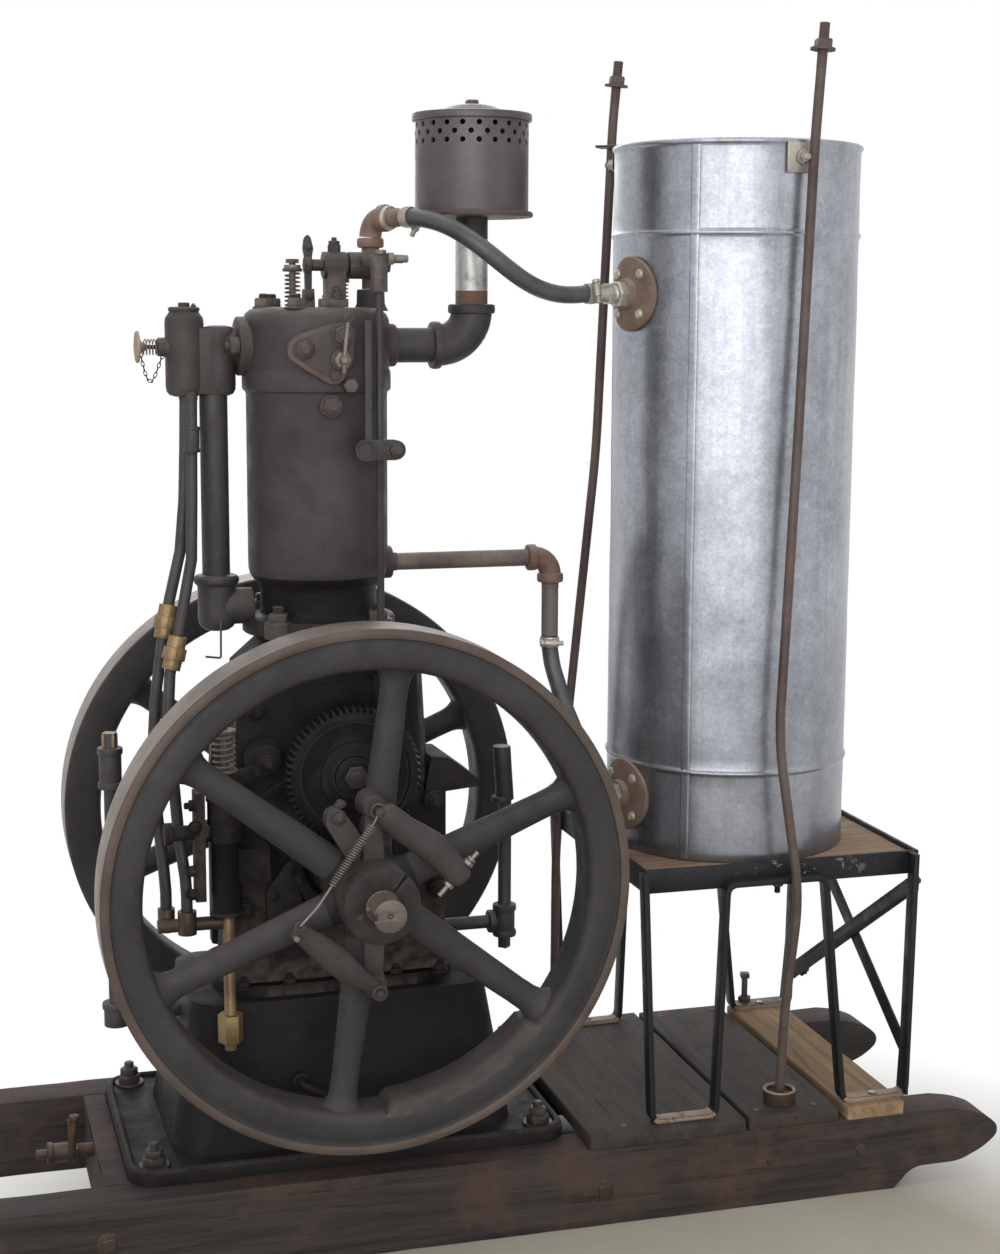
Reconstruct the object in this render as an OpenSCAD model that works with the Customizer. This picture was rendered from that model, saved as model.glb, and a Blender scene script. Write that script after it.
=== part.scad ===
// Vertical single-cylinder, tank-cooled stationary engine on a timber skid.
// X runs along the skid towards the tank, Y along the crankshaft, Z up. Millimetres.
// Everything on the engine is placed from the crankshaft centre.

/* [Skid] */
// Overall length of the two skid rails
skid_len = 1500; // [1400:5:1900]
// Thickness of one rail, across the skid
rail_w = 55; // [40:1:70]
// Height of one rail
rail_h = 100; // [80:1:140]
// Clear space between the two rails
rail_gap = 290; // [280:1:320]
// Thickness of the deck planks and of the tank's foot strip
plank_t = 18; // [12:1:30]
// Width of the plank nearest the engine, along the skid
plank_a_w = 205; // [180:1:215]
// Width of the second plank, along the skid
plank_b_w = 122; // [90:1:122]
// Gap between the planks
plank_gap = 6; // [2:1:12]
// Width of the tank's foot strip, along the skid
strip_w = 78; // [60:1:90]
// Width of a cross timber, along the skid
timber_w = 80; // [60:1:90]

/* [Engine base] */
// Length of the base flange, along the skid
bed_len = 538; // [500:2:545]
// Width of the base flange, along the crankshaft
bed_w = 328; // [310:2:370]
// Thickness of the base flange
bed_t = 14; // [8:1:25]
// Height of the whole base, flange included
base_h = 194; // [150:1:240]
// Length of the tub at its foot
tub_len = 424; // [380:2:440]
// Width of the tub at its foot
tub_w = 256; // [236:2:264]
// How far each side of the tub leans in at the top
tub_draft = 30; // [10:1:40]
// Diameter of the base bolts
base_bolt_d = 13; // [8:1:16]

/* [Crankcase] */
// Height of the crankshaft above the base
crank_rise = 168; // [150:1:190]
// Height of the cylinder seat above the crankshaft
case_rise = 264; // [245:1:300]
// Width of the crankcase along the crankshaft
case_w = 190; // [170:2:200]
// Length of the bearing bosses, outer end to outer end
bearing_span = 296; // [270:2:300]
// Radius of a bearing boss
bearing_r = 44; // [34:1:50]

/* [Cylinder] */
// Radius of the water jacket
jacket_r = 85; // [78:1:92]
// Height of the plain jacket
jacket_h = 241; // [200:1:280]
// Height of the neck between flange and jacket
neck_h = 30; // [15:1:50]
// Height of the raised band under the head
band_h = 27; // [15:1:40]
// Height of the head above the band
head_h = 72; // [60:1:90]
// Set-over of the cylinder from the crankshaft
cyl_x = -7; // [-12:1:4]

/* [Crankshaft and flywheels] */
// Diameter of a flywheel
wheel_d = 609.6; // [560:0.1:630]
// Width of a flywheel rim
rim_w = 65; // [45:1:80]
// Radial depth of a flywheel rim
rim_t = 48; // [35:1:65]
// Distance from one rim's outer face to the other's
wheel_span = 546; // [540:1:600]
// Radius of a flywheel hub
hub_r = 44; // [36:1:50]
// How far a hub stands out of its rim
hub_out = 40; // [20:1:50]
// Width of a spoke at the hub
spoke_w = 42; // [30:1:44]
// Number of spokes
spokes = 6; // [4:1:8]
// Diameter of the crankshaft
shaft_d = 38; // [30:1:44]
// Length of the crankshaft
shaft_len = 700; // [690:1:760]
// Diameter of the turned seats at the shaft's ends
seat_d = 37; // [28:0.5:37.5]

/* [Timing gear] */
// Teeth on the crank pinion; the timing gear has twice as many
pinion_teeth = 30; // [24:1:32]
// Module of the gear teeth
gear_m = 2.6; // [2:0.1:2.8]
// Width of the gears
gear_w = 18; // [10:1:20]
// Diameter of the timing gear's stud
stud_d = 20; // [14:1:26]

/* [Governor] */
// Distance of a governor pivot from the crankshaft centre
gov_pivot = 104; // [96:1:112]
// Diameter of a governor pivot pin
gov_pin_d = 9; // [6:1:12]
// Thickness of a governor weight
gov_t = 22; // [14:1:26]
// Half-width of a governor weight at its middle
gov_half = 15; // [10:1:18]

/* [Valve gear] */
// Height of the rocker shaft above the head
rocker_up = 50; // [44:1:62]
// Distance of the push rod from the cylinder's centre plane
rod_out = 92; // [90:1:98]
// Diameter of the push rod
rod_d = 9; // [6:1:12]
// Diameter of a valve stem
stem_d = 8; // [6:1:10]

/* [Mixer and fuel] */
// Height of the mixer's passage above the crankshaft
mixer_z = 606; // [590:1:620]
// Distance of the mixer lobes from the cylinder centre
mixer_out = 124; // [118:1:130]
// Outside diameter of the air pipe
air_d = 33.4; // [26:0.1:38]
// Outside diameter of the fuel pipes
fuel_d = 13.7; // [10:0.1:16]
// Diameter of the priming knob's stem
knob_stem_d = 6; // [4:1:8]

/* [Exhaust] */
// Outside diameter of the exhaust pipe
exh_d = 42.2; // [34:0.1:48]
// Distance of the exhaust riser from the crankshaft
exh_x = 187; // [175:1:200]
// Radius of the muffler body
muff_r = 69; // [55:1:70]
// Height of the muffler body
muff_h = 120; // [80:1:150]
// Sheet thickness of the muffler
muff_t = 3; // [2:0.5:5]
// Height of the muffler's bottom plate above the crankshaft
muff_z = 764; // [745:1:790]
// Holes in one row round the muffler
muff_holes = 22; // [12:1:30]
// Diameter of a muffler hole
muff_hole_d = 6.5; // [4:0.5:8]

/* [Cooling] */
// Distance of the tank's centre from the crankshaft
tank_x = 534; // [532:1:560]
// Radius of the tank
tank_r = 154.5; // [140:0.5:156]
// Height of the tank
tank_h = 888; // [860:1:920]
// Wall thickness of the tank
tank_t = 2.5; // [1.5:0.5:4]
// Height of the tank's foot below the crankshaft
tank_drop = 30; // [26:1:50]
// Height of the upper hose flange above the crankshaft
flange_hi = 673; // [660:1:680]
// Height of the lower hose flange above the crankshaft
flange_lo = 41; // [36:1:46]
// Direction of the hose flanges round the tank, in degrees
flange_dir = 193.5; // [193:0.5:194]
// Radius of a hose flange
flange_r = 40; // [32:1:46]
// Outside diameter of the water pipes
water_d = 21.3; // [17:0.1:24]
// Outside diameter of the hoses
hose_d = 21; // [18:1:24]

/* [Tank stand] */
// Length of the tray, along the skid
tray_len = 371; // [360:1:400]
// Width of the tray, across the skid
tray_w = 340; // [330:1:380]
// Depth of the tray's angle iron
angle_h = 30; // [20:1:40]
// Thickness of the angle iron and the leg bars
angle_t = 4; // [3:0.5:6]
// Thickness of the board in the tray
board_t = 20; // [10:1:22]
// Width of a leg bar
leg_w = 25; // [18:1:32]

/* [Hold-down rods] */
// Diameter of the hold-down rods
tie_d = 12; // [8:1:14]

/* [Oil pipes] */
// Outside diameter of the oil level pipe
level_d = 17; // [13:0.1:22]
// Outside diameter of the filler pipe
filler_d = 17.1; // [13:0.1:22]
// Outside diameter of the drain pipe
drain_d = 17.1; // [13:0.1:20]

/* [Fits] */
// Running clearance round a turning shaft
run_c = 0.06; // [0.02:0.01:0.1]
// Clearance between separate pieces that seat on each other
seat_c = 0.3; // [0.1:0.1:0.5]
// Tappet clearance at the rocker's ends
tappet_c = 0.8; // [0.7:0.1:1.2]

/* [Hidden] */
$fn = 48;
crank_x = -100;
base_z = rail_h;
crank_z = base_z + base_h + crank_rise;
rail_y = rail_gap / 2;
out_y = rail_gap / 2 + rail_w;
deck_z = rail_h + plank_t;
half = skid_len / 2;
wheel_r = wheel_d / 2;
rim_in = wheel_r - rim_t;
rim_y0 = wheel_span / 2 - rim_w;
rim_y1 = wheel_span / 2;
spoke_y = rim_y1 - rim_w / 2;
hub_y1 = rim_y1 + hub_out;
gear_y0 = bearing_span / 2 + 7;
gear_y1 = gear_y0 + gear_w;
hub_y0 = gear_y1 + 8;
pitch_p = pinion_teeth * gear_m / 2;
pitch_c = pitch_p * 2;
cam_z = pitch_p + pitch_c;
case_y = case_w / 2;
case_floor = -crank_rise;
bed_top = -crank_rise - base_h + bed_t;
// half lengths of the tub and of the crankcase at a height
function tub_at(z) = tub_len / 2 - tub_draft * (z - bed_top) / (case_floor - bed_top);
function case_at(z) = (case_len + (case_top - case_len) * (z - case_floor - 13) / (case_rise - 60 - case_floor - 13)) / 2;
case_len = 270;
case_top = 222;
seat_z = case_rise;
jack_z = seat_z + 21 + neck_h;
band_z = jack_z + jacket_h;
head_z = band_z + band_h;
top_z = head_z + head_h;
rock_z = top_z + rocker_up;
rod_x = 50;
mix_x = cyl_x - mixer_out;
tank_foot = -tank_drop;
board_z = tank_foot - board_t;
tray_z = board_z - angle_t;
tray_cx = tank_x + 13;
ft = [cos(flange_dir), sin(flange_dir)];
gov_y = rim_y1 + 5;
leg_foot = -crank_z + deck_z;
bed_bolt_x = bed_len / 2 - 32;
bed_bolt_y = bed_w / 2 - 28;

module at_crank() { translate([crank_x, 0, crank_z]) children(); }
module cyl_x(x0, x1, r, y = 0, z = 0) { translate([x0, y, z]) rotate([0, 90, 0]) cylinder(h = x1 - x0, r = r); }
module cyl_y(y0, y1, r, x = 0, z = 0) { translate([x, y0, z]) rotate([-90, 0, 0]) cylinder(h = y1 - y0, r = r); }
module cyl_z(z0, z1, r, x = 0, y = 0) { translate([x, y, z0]) cylinder(h = z1 - z0, r = r); }
module hex_z(z0, z1, r, x = 0, y = 0) { translate([x, y, z0]) cylinder(h = z1 - z0, r = r, $fn = 6); }
module hex_x(x0, x1, r, y = 0, z = 0) { translate([x0, y, z]) rotate([0, 90, 0]) cylinder(h = x1 - x0, r = r, $fn = 6); }
module hex_y(y0, y1, r, x = 0, z = 0) { translate([x, y0, z]) rotate([-90, 0, 0]) cylinder(h = y1 - y0, r = r, $fn = 6); }
module rrect(l, w, r) {
    square([l - 2 * r, w], center = true);
    square([l, w - 2 * r], center = true);
    for (sx = [-1, 1], sy = [-1, 1]) translate([sx * (l / 2 - r), sy * (w / 2 - r)]) circle(r);
}
// A straight round bar between two points
module bar(a, b, r) {
    d = b - a;
    l = norm(d);
    translate(a) rotate([0, acos(d[2] / l), atan2(d[1], d[0])]) cylinder(h = l, r = r);
}

// ---- skid ----
nose = [[half - 152, 0], [half - 126, rail_h * 0.26], [half - 60, rail_h * 0.26], [half - 22, rail_h * 0.42],
    [half, rail_h * 0.62], [half - 16, rail_h * 0.82], [half - 48, rail_h * 0.95], [half - 78, rail_h]];
module rail_shape() { polygon(concat(nose, [for (i = [len(nose) - 1 : -1 : 0]) [-nose[i][0], nose[i][1]]])); }
module rail_at(y) {
    difference() {
        translate([0, y + rail_w / 2, 0]) rotate([90, 0, 0]) linear_extrude(rail_w) rail_shape();
        for (sx = [-1, 1]) translate([crank_x + sx * bed_bolt_x, (y > 0 ? 1 : -1) * bed_bolt_y, 0])
            if (abs(bed_bolt_y) > rail_y - base_bolt_d) cylinder(h = rail_h + 1, r = base_bolt_d / 2 + seat_c);
    }
}
module skid_rail_near() { color("#4a3026") rail_at(-rail_y - rail_w / 2); }
module skid_rail_far() { color("#4a3026") rail_at(rail_y + rail_w / 2); }
timber_xs = [crank_x - bed_len / 2 - 27 + timber_w / 2, crank_x + bed_len / 2 - 58, crank_x + tank_x + 26];
module cross_timbers() {
    color("#3f2c22") difference() {
        for (x = timber_xs) translate([x - timber_w / 2, -rail_y, rail_h * 0.1]) cube([timber_w, rail_gap, rail_h * 0.9]);
        at_crank() cyl_x(-bed_len, -bed_len / 2 - 26 + timber_w, drain_d / 2 + seat_c, -4, drain_z);
        for (sx = [-1, 1], sy = [-1, 1]) translate([crank_x + sx * bed_bolt_x, sy * bed_bolt_y, 0]) cylinder(h = rail_h + 1, r = base_bolt_d / 2 + seat_c);
    }
}
plank_x0 = crank_x + bed_len / 2 + 15;
module deck_planks() {
    color("#2e2a27") {
        translate([plank_x0, -out_y - 4, rail_h]) cube([plank_a_w, 2 * out_y + 8, plank_t]);
        translate([plank_x0 + plank_a_w + plank_gap, -out_y - 2, rail_h]) cube([plank_b_w, 2 * out_y + 4, plank_t]);
    }
}
// where each leg's uprights stand at the tray and on the deck
leg_x = [[368, 474, 385, 462], [606, 727, 636, 714]];
strip_x = crank_x + (leg_x[1][2] + leg_x[1][3]) / 2 - 7;
module foot_strip() { color("#a9835a") translate([strip_x - strip_w / 2, -out_y - 3, rail_h]) cube([strip_w, 2 * out_y, plank_t]); }

// ---- engine base ----
drain_z = -crank_z + rail_h - 12;
module engine_base() {
    color("#35322f") translate([crank_x, 0, 0]) difference() {
        union() {
            translate([0, 0, base_z]) linear_extrude(bed_t) rrect(bed_len, bed_w, 34);
            hull() {
                translate([0, 0, base_z + bed_t - 2]) linear_extrude(1) rrect(tub_len, tub_w, 40);
                translate([0, 0, base_z + base_h - 1]) linear_extrude(1) rrect(tub_len - 2 * tub_draft, tub_w - 2 * tub_draft + 20, 36);
            }
        }
        for (sx = [-1, 1], sy = [-1, 1]) translate([sx * bed_bolt_x, sy * bed_bolt_y, base_z - 1]) cylinder(h = bed_t + 2, r = base_bolt_d / 2 + seat_c);
    }
}
module base_bolts() {
    color("#2b2826") for (sx = [-1, 1], sy = [-1, 1]) translate([crank_x + sx * bed_bolt_x, sy * bed_bolt_y, 0]) {
        cyl_z(rail_h * 0.2, base_z + bed_t + 30, base_bolt_d / 2);
        cyl_z(base_z + bed_t, base_z + bed_t + 3, base_bolt_d * 1.15);
        hex_z(base_z + bed_t + 3, base_z + bed_t + 15, base_bolt_d * 0.95);
    }
}

// ---- crankcase ----
module crankcase() {
    color("#34312e") at_crank() difference() {
        union() {
            translate([0, 0, case_floor]) linear_extrude(14) rrect(case_len + 30, case_w - 4, 60);
            hull() {
                translate([0, 0, case_floor + 12]) linear_extrude(1) rrect(case_len, case_w - 24, 60);
                translate([0, 0, case_rise - 60]) linear_extrude(20) rrect(case_top, case_w - 10, 50);
                translate([0, 0, case_rise - 1]) linear_extrude(1) rrect(150, case_w - 50, 60);
            }
            // timing side plate and the far side plate
            for (s = [-1, 1]) translate([0, s * (case_y - 10) + 10, 0]) rotate([90, 0, 0]) linear_extrude(20)
                polygon([[-134, case_floor + 20], [-134, 60], [-124, 190], [-98, case_rise - 56], [74, case_rise - 48], [98, 60], [128, -20], [128, case_floor + 20]]);
            cyl_y(-bearing_span / 2, bearing_span / 2, bearing_r);
            // stud boss and stud of the timing gear
            cyl_y(-gear_y0 + 5, -case_y + 2, 22, 0, cam_z);
            cyl_y(-gear_y1 - 7, -case_y + 2, stud_d / 2, 0, cam_z);
            // push rod guide on the shoulder
            translate([rod_x, -rod_out, 182]) cylinder(h = 40, r = 13);
            translate([rod_x - 9, -rod_out, 182]) cube([18, 24, 30]);
            // ledge on the right
            translate([105, -60, 50]) rotate([90, 0, 0]) translate([0, 0, -70]) linear_extrude(84) polygon([[0, 0], [12, 62], [34, 60], [74, 30], [74, 22], [30, 18], [30, -40], [0, -60]]);
        }
        cyl_y(-bearing_span, bearing_span, shaft_d / 2 + run_c);
        translate([rod_x, -rod_out, 150]) cylinder(h = 90, r = rod_d / 2 + run_c);
    }
}

// ---- cylinder and head ----
intake_x = -35;
exhaust_x = 33;
exhaust_y = 45;
outlet_x = 68;
outlet_y = 33;
module cylinder_body() {
    color("#3a2f2c") at_crank() difference() {
        union() {
            translate([cyl_x, 0, 0]) {
                cyl_z(seat_z, seat_z + 21, 92);
                for (a = [45, 135, 225, 315]) cyl_z(seat_z, seat_z + 21, 17, 86 * cos(a), 86 * sin(a));
                cyl_z(seat_z + 20, jack_z + 6, jacket_r - 14);
                translate([0, 0, jack_z]) cylinder(h = 12, r1 = jacket_r - 10, r2 = jacket_r);
                cyl_z(jack_z + 12, band_z, jacket_r);
                cyl_z(band_z, head_z, jacket_r + 2);
                cyl_z(head_z, top_z - 12, jacket_r + 3);
                translate([0, 0, top_z - 12]) cylinder(h = 12, r1 = jacket_r + 3, r2 = jacket_r - 10);
                // intake boss, exhaust boss, lower water boss
                cyl_x(-jacket_r - 8, -jacket_r + 30, 22, 0, mixer_z);
                cyl_x(jacket_r - 30, jacket_r + 12, 25.5, 0, mixer_z + 4);
                cyl_x(jacket_r - 30, jacket_r + 6, 20, 0, inlet_z);
                // igniter boss
                cyl_y(-jacket_r - 8, -jacket_r + 40, 25, 2, mixer_z - 3);
            }
            // nuts on the head and the water outlet boss
            hex_z(top_z - 1, top_z + 10, 11, -70, 0);
            cyl_z(top_z - 1, top_z + 22, 17, outlet_x, outlet_y);
            // relief lever stand
            translate([-22, -8, top_z - 1]) cube([12, 16, 22]);
            // roller bosses on the near side
            cyl_y(-jacket_r - 12, -jacket_r + 24, 8.5, 14, band_z + 9);
            cyl_y(-jacket_r - 8, -jacket_r + 24, 12, -8, 541);
        }
        translate([intake_x, 0, top_z - 30]) cylinder(h = 31, r = stem_d / 2 + run_c);
        translate([exhaust_x, exhaust_y, top_z - 30]) cylinder(h = 31, r = stem_d / 2 + run_c);
    }
}
module igniter() {
    color("#3d3430") at_crank() translate([2, 0, 0]) {
        y = jacket_r + 8 + seat_c;
        translate([0, -y, 0]) rotate([90, 0, 0]) linear_extrude(9) polygon([[-54, 606], [-50, 620], [-38, 627], [0, 640], [14, 638], [22, 626], [18, 600], [8, 574], [-4, 570], [-40, 592], [-52, 598]]);
        hex_y(-y - 20, -y - 8, 10, -39, 612);
        cyl_y(-y - 26, -y - 8, 6, -39, 612);
        hex_y(-y - 22, -y - 8, 13, 6, 626);
        cyl_y(-y - 30, -y - 8, 8, 6, 626);
        cyl_y(-y - 20, -y - 8, 12, 4, 600);
        translate([2, -y - 24, 584]) cube([5, 6, 32]);
    }
}

// ---- mixer, air and fuel ----
module mixer() {
    color("#393330") at_crank() difference() {
        union() {
            rotate([0, 0, 0]) {
                cyl_z(mixer_z - 56, mixer_z + 42, 23, mix_x - 34, 0);
                cyl_z(mixer_z - 56, mixer_z + 27, 20, mix_x + 6, 0);
                translate([mix_x - 34, -18, mixer_z - 54]) cube([40, 36, 78]);
                cyl_x(mix_x, cyl_x - jacket_r - 8 - 16, 14, 0, mixer_z);
                hex_x(cyl_x - jacket_r - 8 - 22, cyl_x - jacket_r - 8 - seat_c, 24, 0, mixer_z);
                // lid
                cyl_z(mixer_z + 42, mixer_z + 48, 17, mix_x - 34, 0);
                hex_z(mixer_z + 48, mixer_z + 54, 7, mix_x - 34, 0);
                cyl_x(mix_x - 64, mix_x - 50, 9, 0, mixer_z + 2);
            }
        }
        cyl_x(mix_x - 70, mix_x - 30, knob_stem_d / 2 + run_c, 0, mixer_z + 2);
    }
}
module priming_knob() {
    color("#7d7464") at_crank() {
        cyl_x(mix_x - 92, mix_x - 88, 15, 0, mixer_z + 2);
        cyl_x(mix_x - 90, mix_x - 42, knob_stem_d / 2, 0, mixer_z + 2);
    }
}
air_z0 = 325;
module intake_pipe() {
    color("#383230") at_crank() difference() {
        union() {
            cyl_z(air_z0 - 8, mixer_z - 56 - seat_c, air_d / 2, mix_x - 1, 0);
            cyl_z(air_z0, air_z0 + 10, air_d / 2 + 8, mix_x - 1, 0);
            cyl_z(air_z0 - 70, air_z0 + 2, air_d / 2 + 7, mix_x - 1, 0);
            translate([mix_x - 1, 0, air_z0 - 36]) rotate([0, 90, 0]) cylinder(h = 44, r = 26);
            translate([mix_x - 52, -20, air_z0 - 62]) cube([50, 40, 52]);
        }
        translate([cyl_x, 0, seat_z - 80]) cylinder(h = 400, r = 92 + 10);
    }
}
fuel_a = [[mix_x - 35, -4, mixer_z - 57], [mix_x - 37, -8, 487], [mix_x - 40, -14, 428], [mix_x - 47, -23, 368], [mix_x - 62.2, -33.6, 311], [mix_x - 72.5, -39.6, 262], [mix_x - 82, -41, 195], [mix_x - 86, -44, 140], [mix_x - 86, -70, 60], [mix_x - 83, -98, 0], [mix_x - 82, -104, -24], [mix_x - 82, -104, -44]];
fuel_b = [[mix_x - 29.5, -18, mixer_z - 57], [mix_x - 31.4, -26, 488], [mix_x - 33.4, -34, 430], [mix_x - 36.5, -44, 360], [mix_x - 54.5, -56.2, 277], [mix_x - 66.7, -60.7, 227], [mix_x - 71, -72, 180], [mix_x - 69, -90, 110], [mix_x - 66, -110, 40], [mix_x - 61, -120, -4], [mix_x - 60, -122, -24], [mix_x - 60, -122, -44]];
module fuel_pipes() {
    color("#3b3633") at_crank() {
        sweep(fuel_a, fuel_d / 2, 12, [0, 1, 0]);
        sweep(fuel_b, fuel_d / 2, 12, [0, 1, 0]);
    }
}
module union_at(p, i) {
    m = (p[i] + p[i + 1]) / 2;
    d = unit(p[i + 1] - p[i]);
    difference() {
        union() {
            bar(m - 20 * d, m + 20 * d, fuel_d / 2 + 4);
            bar(m - 6 * d, m + 8 * d, fuel_d / 2 + 7);
        }
        bar(m - 30 * d, m + 30 * d, fuel_d / 2 + seat_c);
    }
}
module fuel_unions() {
    color("#8a6a3c") at_crank() {
        union_at(fuel_a, 4);
        union_at(fuel_b, 4);
        // fittings at the pump foot
        cyl_x(mix_x - 94, mix_x - 3, 8, -118, -62);
        cyl_z(-72, -44 - seat_c, 10, mix_x - 82, -104);
        translate([mix_x - 82 - 7, -118, -70]) cube([14, 14, 16]);
        cyl_z(-72, -44 - seat_c, 11, mix_x - 60, -122);
        cyl_z(-216, -50 - seat_c, 7, mix_x - 12, -tub_w / 2);
        hex_z(-206, -172, 15, mix_x - 12, -tub_w / 2);
    }
}
module fuel_pump() {
    color("#35312e") at_crank() {
        px = mix_x - 14;
        py = -case_y - 32;
        cyl_z(-50, 74, 18, px, py);
        cyl_z(40, 88, 21, px, py);
        cyl_z(88, 122, 5, px, py);
        translate([px - 37, py - 12, -30]) cube([12, 24, 130]);
        translate([px - 32, py - 8, 44]) cube([24, 16, 16]);
        translate([px, py - 12, -10]) cube([50, 32 + 12 - seat_c, 40]);
    }
}

// ---- valve gear ----
module rocker_bracket() {
    color("#37322f") at_crank() difference() {
        union() {
            translate([4, -24, top_z + seat_c]) cube([24, 48, 10]);
            translate([5, -15, top_z + seat_c]) cube([22, 30, rock_z - top_z]);
            cyl_x(2, 30, 16, 0, rock_z);
            cyl_x(-12, 82, 7, 0, rock_z);
            hex_z(rock_z + 14, rock_z + 24, 8, 16, 0);
        }
    }
}
module rocker_arm() {
    color("#393431") at_crank() difference() {
        union() {
            cyl_x(33, 68, 16, 0, rock_z);
            translate([rod_x - 6, -rod_out - 8, rock_z - 2]) cube([13, rod_out, 13]);
            translate([rod_x - 8, -rod_out - 9, rock_z - 32]) cube([16, 18, 44]);
            translate([exhaust_x - 6 + 3, 8, rock_z - 4]) cube([10, exhaust_y - 2, 10]);
            cyl_z(rock_z - 8, rock_z + 8, 7, exhaust_x, exhaust_y);
            cyl_x(rod_x + 6, rod_x + 28, 5, -rod_out, rock_z + 6);
        }
        cyl_x(0, 100, 7 + run_c, 0, rock_z);
    }
}
module push_rod() {
    color("#3a3532") at_crank() {
        cyl_z(160, rock_z - 32 - tappet_c, rod_d / 2, rod_x, -rod_out);
        // trip bar and its clamp plate
        translate([rod_x - 20, -rod_out - 15, 478]) cube([34, 8, 24]);
        cyl_y(-rod_out - 15, -rod_out - 7, 12, rod_x - 20, 490);
        cyl_y(-rod_out - 15, -rod_out - 7, 12, rod_x + 14, 490);
        cyl_y(-rod_out - 22, -rod_out + 3, 7, rod_x + 16, 490);
        translate([rod_x - 5, -rod_out - 8, 482]) cube([10, 12, 16]);
        translate([rod_x - 20, -rod_out - 12, 500]) cube([8, 4, 140]);
    }
}
module exhaust_valve() {
    color("#5a534c") at_crank() {
        cyl_z(top_z - 22, rock_z - 8 - tappet_c, stem_d / 2, exhaust_x, exhaust_y);
        cyl_z(rock_z - 20, rock_z - 14, 11, exhaust_x, exhaust_y);
    }
}
module intake_valve() {
    color("#5a534c") at_crank() {
        cyl_z(top_z - 22, top_z + 56, stem_d / 2, intake_x, 0);
        cyl_z(top_z + 44, top_z + 50, 10, intake_x, 0);
    }
}
// A coil of round wire
module coil(x, y, z0, z1, r, turns) {
    n = 12;
    sweep([for (i = [0 : turns * n]) [x + r * cos(360 * i / n), y + r * sin(360 * i / n), z0 + 1.2 + (z1 - z0 - 2.4) * i / (turns * n)]], 1.1, 6, [0, 0, 1]);
}
module valve_springs() {
    color("#4c4640") at_crank() {
        coil(intake_x, 0, top_z + 0.2, top_z + 43.8, 9, 7);
        coil(exhaust_x, exhaust_y, top_z + 0.2, rock_z - 20.2, 9, 5);
    }
}

// ---- exhaust ----
exh_z = mixer_z + 4;
module exhaust_pipe() {
    color("#3c3633") at_crank() {
        cyl_x(cyl_x + jacket_r + 12 + seat_c, exh_x - 34, exh_d / 2, 0, exh_z);
        cyl_x(exh_x - 52, exh_x - 40, exh_d / 2 + 7, 0, exh_z);
        translate([exh_x - 42, 0, exh_z]) rotate([90, 0, 0]) translate([0, 0, 0]) rotate([0, 0, 0])
            translate([0, 42, 0]) rotate([0, 0, -90]) rotate_extrude(angle = 90) translate([42, 0]) circle(exh_d / 2 + 4);
        cyl_z(exh_z + 38, exh_z + 50, exh_d / 2 + 7, exh_x, 0);
        cyl_z(exh_z + 44, muff_z - seat_c, exh_d / 2, exh_x, 0);
    }
}
module muffler_body() {
    color("#3a3132") at_crank() translate([exh_x, 0, muff_z]) difference() {
        union() {
            cylinder(h = muff_t + 4, r = muff_r + 5);
            cylinder(h = muff_h, r = muff_r);
        }
        translate([0, 0, muff_t]) cylinder(h = muff_h, r = muff_r - muff_t);
        for (k = [0 : 2], i = [0 : muff_holes - 1]) rotate([0, 0, (i + k * 0.5) * 360 / muff_holes]) translate([muff_r - 10, 0, muff_h - 12 - 10 * k]) rotate([0, 90, 0]) cylinder(h = 20, r = muff_hole_d / 2, $fn = 14);
    }
}
module muffler_lid() {
    color("#3a3233") at_crank() translate([exh_x, 0, muff_z + muff_h]) {
        cylinder(h = muff_t, r = muff_r + 3);
        difference() {
            translate([0, 0, -6]) cylinder(h = 8, r = muff_r + 4);
            translate([0, 0, -7]) cylinder(h = 7.001, r = muff_r + seat_c);
        }
        translate([0, 0, muff_t - 1]) cylinder(h = 7, r1 = 32, r2 = 22);
        translate([0, 0, muff_t + 4]) cylinder(h = 8, r = 8, $fn = 6);
    }
}

// ---- water ----
inlet_x = 291;
inlet_z = 345;
out_z = top_z + 107;
outlet_dir = -61;
module water_pipes() {
    color("#6e4a33") at_crank() {
        // outlet elbow on the head
        translate([outlet_x, outlet_y, 0]) rotate([0, 0, outlet_dir]) {
            cyl_z(top_z + 22 + seat_c, out_z - 34, water_d / 2);
            cyl_z(out_z - 36, out_z - 20, 15);
            translate([22, 0, out_z - 22]) rotate([90, 0, 0]) rotate([0, 0, 90]) rotate_extrude(angle = 90) translate([22, 0]) circle(13.5);
            cyl_x(20, 32, 16, 0, out_z);
            cyl_x(30, 60, water_d / 2, 0, out_z);
        }
        // inlet pipe, elbow and nipple
        cyl_x(cyl_x + jacket_r + 6 + seat_c, inlet_x - 22, water_d / 2, 0, inlet_z);
        cyl_x(inlet_x - 30, inlet_x - 20, 15, 0, inlet_z);
        translate([inlet_x - 22, 0, inlet_z - 22]) rotate([90, 0, 0]) rotate_extrude(angle = 90) translate([22, 0]) circle(13.5);
        cyl_z(inlet_z - 31, inlet_z - 21, 16, inlet_x, 0);
        cyl_z(inlet_z - 100, inlet_z - 29, water_d / 2, inlet_x, 0);
    }
}
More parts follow.
